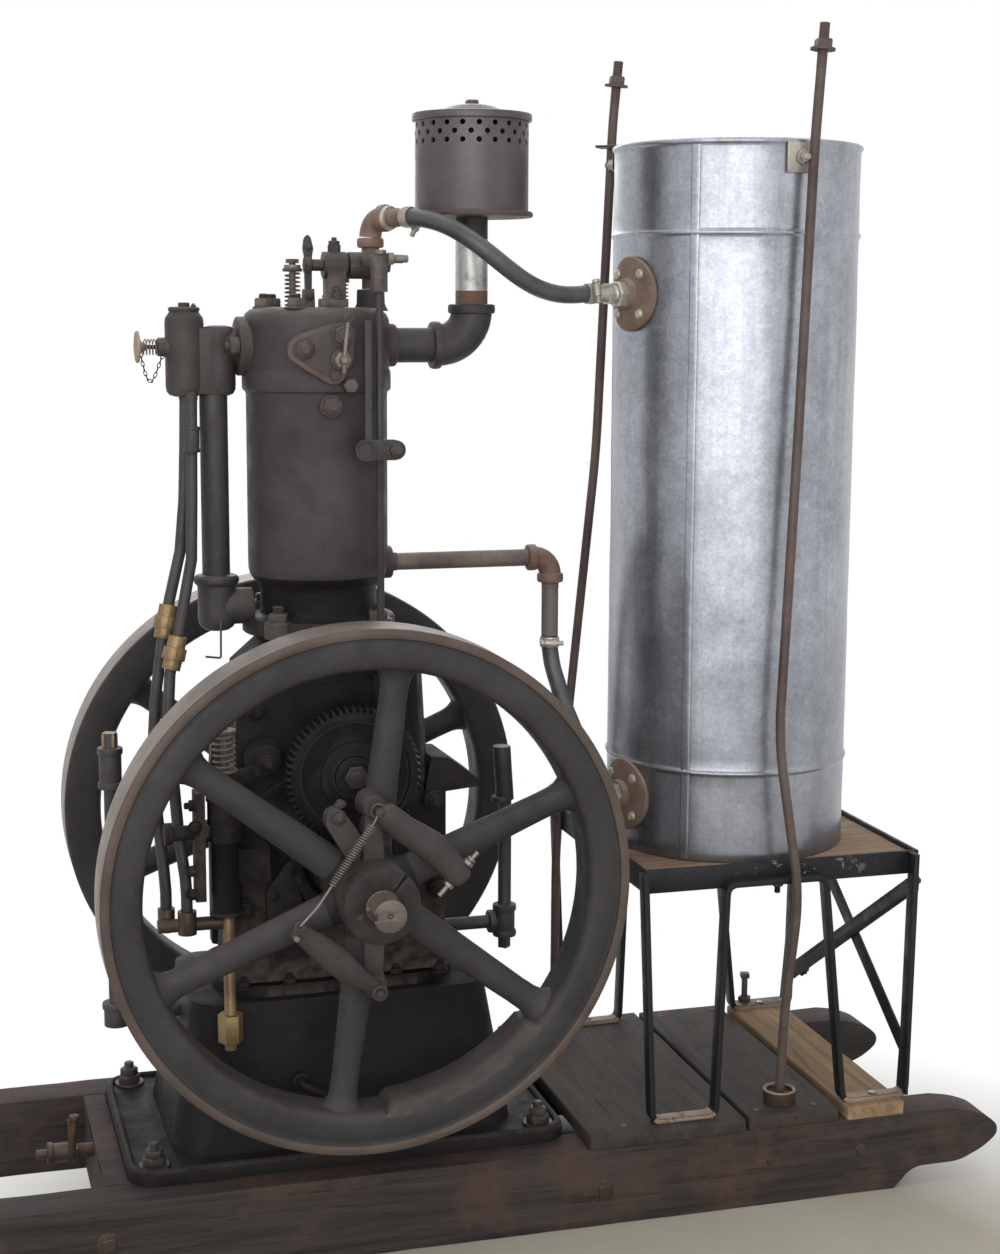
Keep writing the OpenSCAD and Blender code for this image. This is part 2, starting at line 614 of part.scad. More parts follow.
module tank_flanges() {
    color("#7a4a32") at_crank() for (z = [flange_hi, flange_lo]) translate([tank_x, 0, z]) rotate([0, 0, flange_dir]) {
        difference() {
            cyl_x(tank_r - 6, tank_r + 8, flange_r, 0, 0);
            translate([0, 0, -60]) cylinder(h = 120, r = tank_r + seat_c);
        }
        cyl_x(tank_r + 4, tank_r + 16, 19, 0, 0);
        hex_x(tank_r + 14, tank_r + 28, 17, 0, 0);
        if (z == flange_hi) cyl_x(tank_r + 26, tank_r + 54, water_d / 2, 0, 0);
        else {
            cyl_x(tank_r + 26, tank_r + 46, water_d / 2, 0, 0);
            cyl_x(tank_r + 37, tank_r + 47, 16, 0, 0);
            translate([tank_r + 45.5, 0, 22]) rotate([90, 0, 0]) rotate([0, 0, -90]) rotate_extrude(angle = 90) translate([22, 0]) circle(13.5);
            cyl_z(21, 31, 16, tank_r + 67.5, 0);
            cyl_z(29, 38.7, water_d / 2, tank_r + 67.5, 0);
        }
        for (a = [45, 135, 225, 315]) cyl_x(tank_r + 2, tank_r + 12, 4.5, (flange_r - 10) * cos(a), (flange_r - 10) * sin(a));
    }
}
// hose routes, from the crankshaft centre
hose_a = [[97.2, -19.7, 762], [103, -30, 762], [114.5, -47.5, 759.5], [128, -63.5, 755], [142.5, -76.5, 747.5], [158, -86.5, 737], [174, -92.5, 725], [190.5, -95, 712.5], [207.5, -94, 700], [225, -90, 689], [243, -83.5, 680.5], [261.5, -75, 675], [280, -66, 672], [299.5, -58, 671.5], [319.5, -51.5, 673], [331, -48.7, 673]];
hose_b = [[291, 0, 244.7], [291, 0, 232.8], [292.2, -1.6, 219.4], [293.6, -4.8, 206.8], [295.6, -9.6, 195], [297.8, -14.8, 184], [299.6, -20.2, 173], [301.8, -25.8, 162.2], [304.4, -31.4, 151.4], [307.8, -37, 140.6], [311.2, -42.2, 129.6], [314.4, -46.8, 118], [316.8, -50.2, 105.2], [318, -51.8, 92], [318.1, -51.8, 80]];
function unit(v) = v / norm(v);
function tan_at(p, i) = unit(p[min(i + 1, len(p) - 1)] - p[max(i - 1, 0)]);
module sweep(p, r, n = 12, ref = [0, 0.6, 0.8]) {
    m = len(p);
    pts = [for (i = [0 : m - 1]) let (t = tan_at(p, i), u = unit(cross(t, ref)), v = cross(t, u))
        for (k = [0 : n - 1]) p[i] + r * (cos(360 * k / n) * u + sin(360 * k / n) * v)];
    polyhedron(points = pts, faces = concat(
        [[for (k = [0 : n - 1]) k]],
        [[for (k = [n - 1 : -1 : 0]) (m - 1) * n + k]],
        [for (i = [0 : m - 2], k = [0 : n - 1]) [i * n + (k + 1) % n, i * n + k, (i + 1) * n + k, (i + 1) * n + (k + 1) % n]]));
}
module upper_hose() { color("#3a3b3c") at_crank() sweep(hose_a, hose_d / 2); }
module lower_hose() { color("#3a3b3c") at_crank() sweep(hose_b, hose_d / 2, 12, [0.6, 0.8, 0]); }
module hose_clamp(p, d) {
    translate(p) rotate([0, acos(d[2]), atan2(d[1], d[0])]) difference() {
        union() {
            translate([0, 0, -6]) cylinder(h = 12, r = hose_d / 2 + 3);
            translate([hose_d / 2, -6, -5]) cube([9, 14, 10]);
        }
        translate([0, 0, -8]) cylinder(h = 16, r = hose_d / 2 + 1);
    }
}
module hose_clamps() {
    color("#8d8a80") at_crank() {
        // one at each hose end, in line with the pipe there
        for (h = [hose_a, hose_b], e = [[h[0], h[1]], [h[len(h) - 1], h[len(h) - 2]]])
            let (d = unit(e[1] - e[0])) hose_clamp(e[0] + 7 * d, d[2] < -0.9 ? [0, 0, 1] : d);
    }
}

// ---- tank ----
module tank_shell() {
    color("#9aa3a8") at_crank() translate([tank_x, 0, tank_foot]) difference() {
        union() {
            cylinder(h = tank_h, r = tank_r, $fn = 96);
            for (z = [tank_h - 5, tank_h - 112, 114]) translate([0, 0, z]) rotate_extrude($fn = 96) translate([tank_r - 1, 0]) circle(3.4, $fn = 16);
            rotate([0, 0, 244]) translate([tank_r - 1, -6, 2]) cube([2.5, 12, tank_h - 8]);
        }
        translate([0, 0, -1]) cylinder(h = tank_h + 10, r = tank_r - tank_t, $fn = 96);
        for (z = [flange_hi, flange_lo]) translate([0, 0, z - tank_foot]) rotate([0, 0, flange_dir]) translate([tank_r - 20, 0, 0]) rotate([0, 90, 0]) cylinder(h = 40, r = 10);
    }
}
module tank_bottom() {
    color("#8b9498") at_crank() translate([tank_x, 0, tank_foot]) {
        translate([0, 0, 8]) cylinder(h = 2.5, r = tank_r - tank_t - 0.1, $fn = 96);
        difference() {
            translate([0, 0, 0]) cylinder(h = 10, r = tank_r - tank_t - 0.1, $fn = 96);
            translate([0, 0, -1]) cylinder(h = 12, r = tank_r - tank_t - 4, $fn = 96);
        }
    }
}
// hold-down rod routes, from the crankshaft centre
tank_top = tank_foot + tank_h;
tie_near = [[571, -166, tank_top + 131], [556, -168, tank_top - 14], [550, -176, 500], [537, -(tray_w / 2 + 14), 132], [567, -(tray_w / 2 + 14), -64], [566, -150, leg_foot + 3]];
tie_far = [[406, 100, tank_top + 112], [400, 104, tank_top + 31], [378, 126, 468], [356, 165, 100], [348, tray_w / 2 - 4, -80], [354, tray_w / 2 - 8, leg_foot + 3]];
module tank_brackets() {
    color("#8f9496") at_crank() {
        // tab on the near side of the rim, and a strap on the far side
        translate([tank_x, 0, 0]) rotate([0, 0, 276.5]) {
            translate([tank_r + 3, -14, tank_foot + tank_h - 40]) cube([3, 28, 32]);
            translate([tank_r + 2.7 + seat_c, -14, tank_foot + tank_h - 11]) cube([3, 28, 4]);
            cyl_x(tank_r + seat_c, tank_r + 9, 4, 0, tank_foot + tank_h - 24);
        }
        translate([tank_x, 0, 0]) rotate([0, 0, 143]) {
            translate([tank_r + 3, -14, tank_foot + tank_h - 26]) cube([4, 28, 12]);
            cyl_x(tank_r + seat_c, tank_r + 9, 4, 0, tank_foot + tank_h - 20);
        }
    }
}
module tie_rod(p) {
    sweep(p, tie_d / 2, 12, [1, 0, 0]);
    q = p[0];
    d = unit(p[0] - p[1]);
    bar(q - 6 * d, q + 18 * d, tie_d / 2);
    bar(q - 10 * d, q + 2 * d, tie_d * 0.95);
    bar(q - 14 * d, q - 10 * d, tie_d * 1.2);
}
module hold_down_rods() {
    color("#5a4234") at_crank() {
        tie_rod(tie_near);
        tie_rod(tie_far);
        translate([566, -150, leg_foot + seat_c]) cylinder(h = 24, r = 24);
        translate([354, tray_w / 2 - 8, leg_foot + seat_c]) cylinder(h = 24, r = 24);
    }
}

// ---- tank stand ----
module stand_tray() {
    color("#1c1b1b") at_crank() translate([tray_cx, 0, tray_z]) difference() {
        translate([-tray_len / 2, -tray_w / 2, 0]) cube([tray_len, tray_w, angle_h]);
        translate([-tray_len / 2 + angle_t, -tray_w / 2 + angle_t, angle_t]) cube([tray_len - 2 * angle_t, tray_w - 2 * angle_t, angle_h]);
        translate([-tray_len / 2 + angle_h, -tray_w / 2 + angle_h, -1]) cube([tray_len - 2 * angle_h, tray_w - 2 * angle_h, angle_h]);
    }
}
module tray_board() {
    color("#8d6a4c") at_crank() translate([tray_cx, 0, tray_z + angle_t]) difference() {
        translate([-tray_len / 2 + angle_t + seat_c, -tray_w / 2 + angle_t + seat_c, 0]) cube([tray_len - 2 * angle_t - 2 * seat_c, tray_w - 2 * angle_t - 2 * seat_c, board_t]);
    }
}
// A leg: two uprights and the foot between them
module leg(xa, xb, fa, fb, s) {
    yt = s * (tray_w / 2 + seat_c);
    yf = s * (tray_w / 2 + leg_w / 2 + seat_c);
    for (q = [[xa, fa], [xb, fb]]) hull() {
        translate([q[0] - angle_t / 2, min(yt, yt + s * 5), tray_z + 4]) cube([angle_t, 5, 22]);
        translate([q[1] - angle_t / 2, yf - leg_w / 2, leg_foot + angle_t + seat_c]) cube([angle_t, leg_w, 6]);
    }
    translate([fa, yf - leg_w / 2, leg_foot]) cube([fb - fa, leg_w, angle_t]);
}
// outer face of the last upright at a height
function leg_at(z) = let (q = leg_x[1]) q[1] + (q[3] - q[1]) * (tray_z + 15 - z) / (tray_z + 15 - leg_foot) + angle_t / 2 + 1.5 + seat_c;
module brace(a, b) { hull() for (p = [a, b]) translate(p) cube([3, 12, 18], center = true); }
module stand_legs() {
    color("#1c1b1b") at_crank() {
        for (s = [-1, 1]) for (q = leg_x) leg(q[0], q[1], q[2], q[3], s);
        // crossed braces at the end away from the engine
        zh = tray_z - 12;
        zl = leg_foot + 50;
        for (s = [-1, 1]) brace([leg_at(zh) + (s + 1) * 1.65, s * tray_w / 2, zh], [leg_at(zl) + (s + 1) * 1.65, -s * (tray_w / 2 + 4), zl]);
    }
}

// ---- oil pipes ----
module oil_pipes() {
    color("#35302d") at_crank() {
        // level pipe on the right
        cyl_x(case_at(-126 - level_d / 2) + seat_c, 234, level_d / 2, 20, -126);
        cyl_x(212, 220, level_d / 2 + 5, 20, -126);
        cyl_z(-142, -108, level_d / 2 + 5, 234, 20);
        cyl_z(-156, -142, 7, 234, 20);
        cyl_z(-108, 100, level_d / 2, 234, 20);
        cyl_z(30, 100, level_d / 2 + 3, 234, 20);
        // filler pipe on the left
        cyl_z(-200, 110, filler_d / 2, -264, 0);
        cyl_z(80, 130, filler_d / 2 + 5, -264, 0);
        cyl_z(130, 148, 9, -264, 0);
        cyl_z(-218, -190, 15, -264, 0);
        cyl_x(-264, -tub_at(-205 - filler_d / 2) - seat_c, filler_d / 2, 0, -205);
    }
}
module drain_cock() {
    color("#4a3b30") translate([crank_x, 0, 0]) at_z() {
        cyl_x(-338, -240, drain_d / 2, -4, 0);
        cyl_x(-352, -318, 12, -4, 0);
        cyl_x(-366, -350, 6, -4, 0);
        translate([-330, -18, -8]) cube([14, 10, 16]);
        translate([-328, -20, 0]) cube([9, 6, 46]);
    }
}
module at_z() { translate([0, 0, crank_z + drain_z]) children(); }

// ---- turning group ----
module crankshaft() {
    color("#6a5a50") at_crank() {
        difference() {
            union() {
                cyl_y(-hub_y1 - 1, hub_y1 + 1, shaft_d / 2);
                cyl_y(-shaft_len / 2, shaft_len / 2, seat_d / 2);
            }
            for (s = [-1, 1]) translate([-shaft_d / 2 - 1, s * (shaft_len / 2 - 20) - 21, -4]) cube([6, 42, 8]);
            for (s = [-1, 1]) translate([0, s * shaft_len / 2, 0]) sphere(r = 3, $fn = 16);
        }
        // the pinion has a gap at its top for the timing gear's lowest tooth
        translate([0, -gear_y0, 0]) rotate([90, 0, 0]) rotate([0, 0, 90 + 180 / pinion_teeth]) gear(pinion_teeth, gear_m, gear_w, shaft_d / 2 - 2);
    }
}
module gear(teeth, m, w, bore) {
    rp = teeth * m / 2;
    n = teeth;
    ro = rp + m * 0.95;
    ri = rp - m * 1.2;
    linear_extrude(w) difference() {
        polygon([for (i = [0 : n - 1]) for (q = [[-0.32, ri], [-0.12, ro], [0.12, ro], [0.32, ri]]) q[1] * [cos((i + q[0]) * 360 / n), sin((i + q[0]) * 360 / n)]]);
        circle(bore);
    }
}
module cam_gear() {
    color("#3a3633") at_crank() translate([0, -gear_y0, cam_z]) difference() {
        union() {
            rotate([90, 0, 0]) rotate([0, 0, 270]) gear(2 * pinion_teeth, gear_m, gear_w, stud_d / 2 + run_c);
            rotate([90, 0, 0]) difference() {
                cylinder(h = gear_w + 5, r = 24);
                translate([0, 0, -1]) cylinder(h = gear_w + 10, r = stud_d / 2 + run_c);
            }
        }
        translate([0, -gear_w + 4, 0]) rotate([90, 0, 0]) difference() {
            translate([0, 0, 0]) cylinder(h = 20, r = pitch_c - 12);
            translate([0, 0, -1]) cylinder(h = 22, r = 40);
        }
    }
}
module wheel(s) {
    difference() {
        union() {
            // rim
            difference() {
                translate([0, s * rim_y0, 0]) rotate([s > 0 ? -90 : 90, 0, 0]) cylinder(h = rim_w, r = wheel_r, $fn = 128);
                translate([0, s * (rim_y0 - 1), 0]) rotate([s > 0 ? -90 : 90, 0, 0]) cylinder(h = rim_w + 2, r = rim_in, $fn = 128);
                translate([0, s * (rim_y1 - 4), 0]) rotate([s > 0 ? -90 : 90, 0, 0]) difference() {
                    cylinder(h = 10, r = wheel_r - 11, $fn = 128);
                    translate([0, 0, -1]) cylinder(h = 12, r = rim_in + 6, $fn = 128);
                }
            }
            // hub and spokes
            translate([0, s * hub_y0, 0]) rotate([s > 0 ? -90 : 90, 0, 0]) cylinder(h = hub_y1 - hub_y0, r = hub_r);
            for (i = [0 : spokes - 1]) rotate([0, -(25.8 + i * 360 / spokes), 0])
                translate([hub_r - 12, s * spoke_y, 0]) rotate([0, 90, 0]) scale([1, 0.72, 1]) cylinder(h = rim_in - hub_r + 18, r1 = spoke_w / 2, r2 = spoke_w * 0.4);
        }
        translate([0, s * (hub_y0 - 5), 0]) rotate([s > 0 ? -90 : 90, 0, 0]) cylinder(h = hub_y1 - hub_y0 + 10, r = shaft_d / 2 + run_c);
        // the hub's clamping slot
        translate([0, s * (hub_y1 - 20) - 22, 0]) rotate([0, -48, 0]) translate([shaft_d / 2 - 4, 0, -2]) cube([hub_r, 44, 4]);
        // pivot holes of the governor
        if (s < 0) for (q = [-1, 1]) translate([0, -rim_y1 - 20, q * gov_pivot]) rotate([-90, 0, 0]) cylinder(h = 60, r = gov_pin_d / 2 + 0.01);
    }
}
module near_flywheel() { color("#3a3837") at_crank() union() { wheel(-1); gov_lugs(); } }
module far_flywheel() { color("#3a3837") at_crank() wheel(1); }
// lugs and pins that carry the governor weights
module gov_lugs() {
    for (q = [-1, 1]) {
        difference() {
            translate([0, -gov_y + 0.6, q * gov_pivot]) rotate([-90, 0, 0]) cylinder(h = gov_y - spoke_y + 8, r = 16);
            translate([0, -gov_y - 1, q * gov_pivot]) rotate([-90, 0, 0]) cylinder(h = 20, r = gov_pin_d / 2 - 2);
        }
        translate([0, -gov_y - gov_t - 4, q * gov_pivot]) rotate([-90, 0, 0]) cylinder(h = gov_t + 8, r = gov_pin_d / 2);
        // lug root on the hub
        translate([-13, -gov_y + 6, q > 0 ? hub_r - 8 : -gov_pivot]) cube([26, 20, gov_pivot - hub_r + 8]);
    }
}
// One weight, from its pivot to its loose end
module weight(turn) {
    rotate([0, turn, 0]) translate([0, -gov_y, 0]) rotate([90, 0, 0]) difference() {
        union() {
            translate([0, gov_pivot, 0]) cylinder(h = gov_t, r = 13);
            linear_extrude(gov_t) polygon([[-4, gov_pivot + 12], [10, gov_pivot + 9], [56 + gov_half, 86], [104, 36], [112, 22], [100, 10], [86, 14], [60 - gov_half, 54], [-6, gov_pivot - 11]]);
        }
        translate([0, gov_pivot, -1]) cylinder(h = gov_t + 2, r = gov_pin_d / 2 + run_c);
    }
}
module governor_weight_a() { color("#4a4542") at_crank() weight(0); }
module governor_weight_b() { color("#4a4542") at_crank() weight(180); }

skid_rail_near();
skid_rail_far();
cross_timbers();
deck_planks();
foot_strip();
engine_base();
base_bolts();
crankcase();
cylinder_body();
igniter();
mixer();
priming_knob();
intake_pipe();
fuel_pipes();
fuel_unions();
fuel_pump();
rocker_bracket();
rocker_arm();
push_rod();
exhaust_valve();
intake_valve();
valve_springs();
exhaust_pipe();
muffler_body();
muffler_lid();
water_pipes();
upper_hose();
lower_hose();
hose_clamps();
tank_shell();
tank_bottom();
tank_flanges();
tank_brackets();
hold_down_rods();
stand_tray();
tray_board();
stand_legs();
oil_pipes();
drain_cock();
crankshaft();
near_flywheel();
far_flywheel();
cam_gear();
governor_weight_a();
governor_weight_b();
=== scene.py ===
"""Looks of the stationary engine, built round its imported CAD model.
Lengths are millimetres from the middle of the crankshaft, unless a name says otherwise."""
from math import atan2, cos, exp, hypot, pi, radians, remainder, sin, sqrt

import bmesh
import bpy
from mathutils import Matrix, Vector, noise

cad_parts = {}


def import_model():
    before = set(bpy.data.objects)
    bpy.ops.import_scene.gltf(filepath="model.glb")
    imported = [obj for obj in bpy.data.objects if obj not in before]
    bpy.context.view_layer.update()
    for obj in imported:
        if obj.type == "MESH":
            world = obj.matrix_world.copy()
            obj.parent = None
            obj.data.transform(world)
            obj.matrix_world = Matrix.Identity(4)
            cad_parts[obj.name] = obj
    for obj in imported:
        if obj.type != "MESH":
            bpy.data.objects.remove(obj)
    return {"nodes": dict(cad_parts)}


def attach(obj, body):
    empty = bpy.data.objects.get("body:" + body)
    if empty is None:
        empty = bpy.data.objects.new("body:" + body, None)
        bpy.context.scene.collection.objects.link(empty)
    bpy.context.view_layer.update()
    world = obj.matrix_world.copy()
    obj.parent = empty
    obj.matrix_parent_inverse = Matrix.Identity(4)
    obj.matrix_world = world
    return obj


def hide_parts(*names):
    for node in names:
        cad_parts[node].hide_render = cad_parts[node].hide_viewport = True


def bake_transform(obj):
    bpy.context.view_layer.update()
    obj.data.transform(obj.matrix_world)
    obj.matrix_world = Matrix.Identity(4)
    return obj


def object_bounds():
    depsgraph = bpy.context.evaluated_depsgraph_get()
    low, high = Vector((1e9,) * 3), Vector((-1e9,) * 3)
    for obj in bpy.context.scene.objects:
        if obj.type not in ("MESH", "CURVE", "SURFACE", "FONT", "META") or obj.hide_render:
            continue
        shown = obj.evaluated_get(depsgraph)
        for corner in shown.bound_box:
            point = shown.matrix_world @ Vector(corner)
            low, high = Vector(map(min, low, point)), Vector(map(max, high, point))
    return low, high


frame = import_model()
cad_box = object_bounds()
NODES = frame["nodes"]
MM = 0.001
CRANK = Vector((-100.0, 0.0, 462.0))
X, Y, Z = Vector((1, 0, 0)), Vector((0, 1, 0)), Vector((0, 0, 1))


def world(p):
    """A point in metres in the row frame, from millimetres from the crankshaft."""
    return (Vector(p) + CRANK) * MM


# ---------------------------------------------------------------- camera
# heading, pitch, roll, place and lens are fitted to the photo
HEADING, PITCH, ROLL = radians(16.373), radians(8.809), radians(0.251)
EYE, LENS, SENSOR = (-491.0, -2437.9, 651.4), 58.50, 36
scene = bpy.context.scene
cam = bpy.data.objects.new("camera", bpy.data.cameras.new("camera"))
scene.collection.objects.link(cam)
right = Vector((cos(HEADING), -sin(HEADING), 0))
level = Vector((sin(HEADING), cos(HEADING), 0))
look = level * cos(PITCH) - Z * sin(PITCH)
up = right.cross(look)
side = right * cos(ROLL) + up * sin(ROLL)
top = up * cos(ROLL) - right * sin(ROLL)
turn = Matrix((side, top, -look)).transposed()
cam.matrix_world = Matrix.Translation(world(EYE)) @ turn.to_4x4()
cam.data.sensor_width = SENSOR
cam.data.lens = LENS
cam.data.clip_end = 60
scene.camera = cam


# ---------------------------------------------------------------- materials
def srgb(r, g, b):
    """A linear colour from its 0 to 255 values."""
    parts = [((c / 255 + 0.055) / 1.055) ** 2.4 if c > 10 else c / 255 / 12.92 for c in (r, g, b)]
    return (*parts, 1.0)


class Mat:
    """A procedural material: layers of noise over a Principled shader."""

    def __init__(self, name, stretch=(1, 1, 1)):
        self.m = bpy.data.materials.new(name)
        self.m.use_nodes = True
        self.t = self.m.node_tree
        self.bsdf = self.t.nodes["Principled BSDF"]
        self.plain = self.node("TexCoord").outputs["Object"]
        self.co = self.mapped(stretch)
        self.height = []

    def node(self, kind, **values):
        """Adds a node, with its inputs set by name."""
        n = self.t.nodes.new("ShaderNode" + kind)
        for name, value in values.items():
            n.inputs[name].default_value = value
        return n

    def link(self, a, b):
        self.t.links.new(a, b)

    def mapped(self, stretch):
        """The object's own coordinates, scaled along each axis."""
        n = self.node("Mapping", Scale=stretch)
        self.link(self.plain, n.inputs["Vector"])
        return n.outputs["Vector"]

    def noise(self, scale, detail=6, rough=0.6, plain=False, distort=0.0, stretch=None):
        n = self.node("TexNoise", Scale=scale, Detail=detail, Roughness=rough, Distortion=distort)
        where = self.mapped(stretch) if stretch else self.plain if plain else self.co
        self.link(where, n.inputs["Vector"])
        return n.outputs["Fac"]

    def cells(self, scale):
        """Cells of one plain colour each, like zinc crystals."""
        n = self.node("TexVoronoi", Scale=scale)
        self.link(self.co, n.inputs["Vector"])
        return n.outputs["Color"]

    def ramp(self, fac, stops):
        """fac through colour stops; a stop is a place and a colour, or a grey."""
        n = self.node("ValToRGB")
        el = n.color_ramp.elements
        while len(el) < len(stops):
            el.new(0.5)
        for e, (at, c) in zip(el, stops):
            e.position = at
            e.color = c if isinstance(c, tuple) else (c, c, c, 1)
        self.link(fac, n.inputs["Fac"])
        return n.outputs["Color"]

    def mix(self, fac, a, b, kind="MIX"):
        """a and b mixed or combined; each is a socket, a colour or a number."""
        n = self.node("Mix")
        n.data_type = "RGBA"
        n.blend_type = kind
        for sock, v in ((n.inputs[0], fac), (n.inputs[6], a), (n.inputs[7], b)):
            if isinstance(v, tuple):
                sock.default_value = v
            elif isinstance(v, (float, int)):
                sock.default_value = v if sock.type == "VALUE" else (v, v, v, 1)
            else:
                self.link(v, sock)
        return n.outputs[2]

    def up_facing(self, lo=0.3, hi=0.95):
        """1 where the surface faces up, for dust and light wear, and for the painted highlight on the hose's
        top.
        """
        n = self.node("SeparateXYZ")
        self.link(self.node("NewGeometry").outputs["Normal"], n.inputs[0])
        return self.ramp(n.outputs["Z"], [(lo, 0.0), (hi, 1.0)])

    def edges(self):
        """1 on edges that stand out, for wear."""
        return self.ramp(self.node("NewGeometry").outputs["Pointiness"], [(0.52, 0.0), (0.62, 1.0)])

    def along(self, axis="Z"):
        """The place along one axis of the object, in metres."""
        n = self.node("SeparateXYZ")
        self.link(self.plain, n.inputs[0])
        return n.outputs[axis]

    def bump(self, fac, distance):
        """Adds relief of a depth in metres on what is there."""
        n = self.node("Bump", Strength=1.0, Distance=distance)
        self.link(fac, n.inputs["Height"])
        if self.height:
            self.link(self.height[-1], n.inputs["Normal"])
        self.height.append(n.outputs["Normal"])
        return self

    def done(self, colour, rough, metallic=0.0, specular=0.5):
        """rough is a number, or (noise, low, high)."""
        self.link(colour, self.bsdf.inputs["Base Color"])
        if isinstance(rough, tuple):
            fac, low, high = rough
            n = self.node("MapRange", **{"From Min": 0.3, "From Max": 0.7, "To Min": low, "To Max": high})
            self.link(fac, n.inputs["Value"])
            self.link(n.outputs["Result"], self.bsdf.inputs["Roughness"])
        else:
            self.bsdf.inputs["Roughness"].default_value = rough
        self.bsdf.inputs["Metallic"].default_value = metallic
        self.bsdf.inputs["Specular IOR Level"].default_value = specular
        if self.height:
            self.link(self.height[-1], self.bsdf.inputs["Normal"])
        return self.m


def iron(name, low, high, patch=None, patch_at=(0.58, 0.66), dust=None, wear=None, rough=(0.42, 0.68),
        grain=900, coarse=60, depth=0.00035, metallic=0.0, specular=0.5, patch_scale=16,):
    """Cast or rolled iron: two mottled tones, with rust patches, dust on top and worn edges.
    Colours are 0 to 255, sizes of the noise are in waves to the metre and depth in metres."""
    low, high, patch, dust, wear = (c and srgb(*c) for c in (low, high, patch, dust, wear))
    m = Mat(name)
    tone = m.noise(9, 8, 0.65)
    c = m.mix(m.ramp(tone, [(0.35, 0.0), (0.65, 1.0)]), low, high)
    fine = m.noise(220, 4, 0.7)
    c = m.mix(m.ramp(fine, [(0.42, 0.0), (0.75, 0.35)]), c, high)
    if patch:
        c = m.mix(m.ramp(m.noise(patch_scale, 9, 0.7, distort=0.4),
            [(patch_at[0], 0.0), (patch_at[1], 1.0)]), c, patch)
    if dust:
        c = m.mix(m.mix(1.0, m.up_facing(), m.ramp(tone, [(0.3, 0.35), (0.7, 1.0)]), "MULTIPLY"), c, dust)
    if wear:
        c = m.mix(m.mix(1.0, m.edges(), m.ramp(m.noise(60, 5), [(0.35, 0.2), (0.6, 1.0)]),
            "MULTIPLY"), c, wear)
    m.bump(m.noise(coarse, 6, 0.6), depth * 2.2).bump(m.noise(grain, 3, 0.6), depth)
    return m.done(c, (m.noise(35, 5), rough[0], rough[1]), metallic, specular)


def wood(name, low, high, stretch, worn, rough=(0.6, 0.85), depth=0.0012):
    """Sawn timber: grain drawn out along the piece, with cracks and worn patches."""
    low, high, worn = (srgb(*c) for c in (low, high, worn))
    m = Mat(name, stretch)
    grain = m.noise(1.0, 10, 0.72, distort=0.6)
    c = m.mix(m.ramp(grain, [(0.33, 0.0), (0.68, 1.0)]), low, high)
    crack = m.noise(2.2, 12, 0.8, distort=0.2)
    c = m.mix(m.ramp(crack, [(0.30, 1.0), (0.40, 0.0)]), c, tuple(v * 0.35 for v in low[:3]) + (1,))
    c = m.mix(m.ramp(m.noise(7, 8, 0.7, plain=True), [(0.5, 0.0), (0.64, 1.0)]), c, worn)
    m.bump(grain, depth).bump(m.ramp(crack, [(0.28, 0.0), (0.42, 1.0)]), depth * 0.8)
    return m.done(c, (crack, rough[0], rough[1]), 0.0, 0.3)


M = {}
M["iron"] = iron("engine_iron", (40, 36, 37), (70, 64, 63), patch=(78, 58, 50), patch_at=(0.60, 0.76),
    dust=(92, 86, 82), wear=(104, 95, 88), specular=0.3)
# Darker copy of the engine iron for the crankcase, base and other low parts: their oil and dirt, and painted
# shade from the wheels over them.
M["iron_low"] = iron("engine_iron_dirty_and_shaded", (20, 19, 20), (38, 35, 36), patch=(46, 38, 34),
    patch_at=(0.62, 0.78), dust=(46, 43, 42), wear=(84, 77, 72), specular=0.12)
M["cylinder"] = iron("engine_iron_paint", (48, 42, 44), (76, 68, 70), patch=(78, 40, 40),
    patch_at=(0.60, 0.82), dust=(94, 87, 84), wear=(106, 95, 88), patch_scale=9, specular=0.3)
M["wheel"] = iron("wheel_iron", (46, 44, 45), (66, 63, 64), patch=(76, 62, 56), patch_at=(0.64, 0.82),
    dust=(84, 79, 77), wear=(92, 85, 80), grain=700, specular=0.22)
M["tread"] = iron("wheel_tread", (102, 92, 86), (138, 127, 119), patch=(98, 76, 64),
    patch_at=(0.62, 0.80), rough=(0.35, 0.55), depth=0.00015, metallic=0.2)
M["lip"] = iron("wheel_lip", (70, 60, 55), (98, 85, 78), patch=(90, 68, 56), depth=0.0002, specular=0.3)
M["bright"] = iron("worn_steel", (92, 85, 80), (142, 133, 126), patch=(96, 72, 56),
    patch_at=(0.56, 0.70), rough=(0.34, 0.52), metallic=0.4, depth=0.00015)
M["shaft"] = iron("shaft_steel", (74, 64, 60), (124, 112, 104), patch=(92, 70, 56), rough=(0.34, 0.52),
    metallic=0.3, depth=0.00015)
M["rust"] = iron("rusty_iron", (94, 74, 64), (142, 122, 110), patch=(124, 80, 56), patch_at=(0.50, 0.70),
    dust=(160, 148, 138), patch_scale=30, depth=0.0004, specular=0.3)
M["muffler"] = iron("muffler_sheet", (62, 55, 59), (88, 81, 85), patch=(82, 70, 68),
    patch_at=(0.60, 0.80), rough=(0.32, 0.46), depth=0.0001, coarse=25, dust=(106, 96, 93), specular=0.5)
M["pipe"] = iron("black_pipe", (42, 39, 41), (70, 66, 66), patch=(82, 64, 54), patch_at=(0.62, 0.78),
    dust=(104, 97, 92), depth=0.00018, specular=0.35)
M["brass"] = iron("dull_brass", (88, 70, 48), (152, 127, 90), patch=(74, 60, 50), patch_at=(0.52, 0.70),
    rough=(0.36, 0.55), metallic=0.4, depth=0.00012)
M["old_brass"] = iron("browned_brass", (46, 38, 32), (96, 80, 60), patch=(112, 94, 66),
    patch_at=(0.60, 0.72), rough=(0.42, 0.6), metallic=0.3, depth=0.00015)
M["zinc"] = iron("zinc_clamp", (136, 130, 121), (194, 188, 178), patch=(112, 94, 78),
    patch_at=(0.54, 0.70), rough=(0.3, 0.48), metallic=0.45, depth=0.0001)
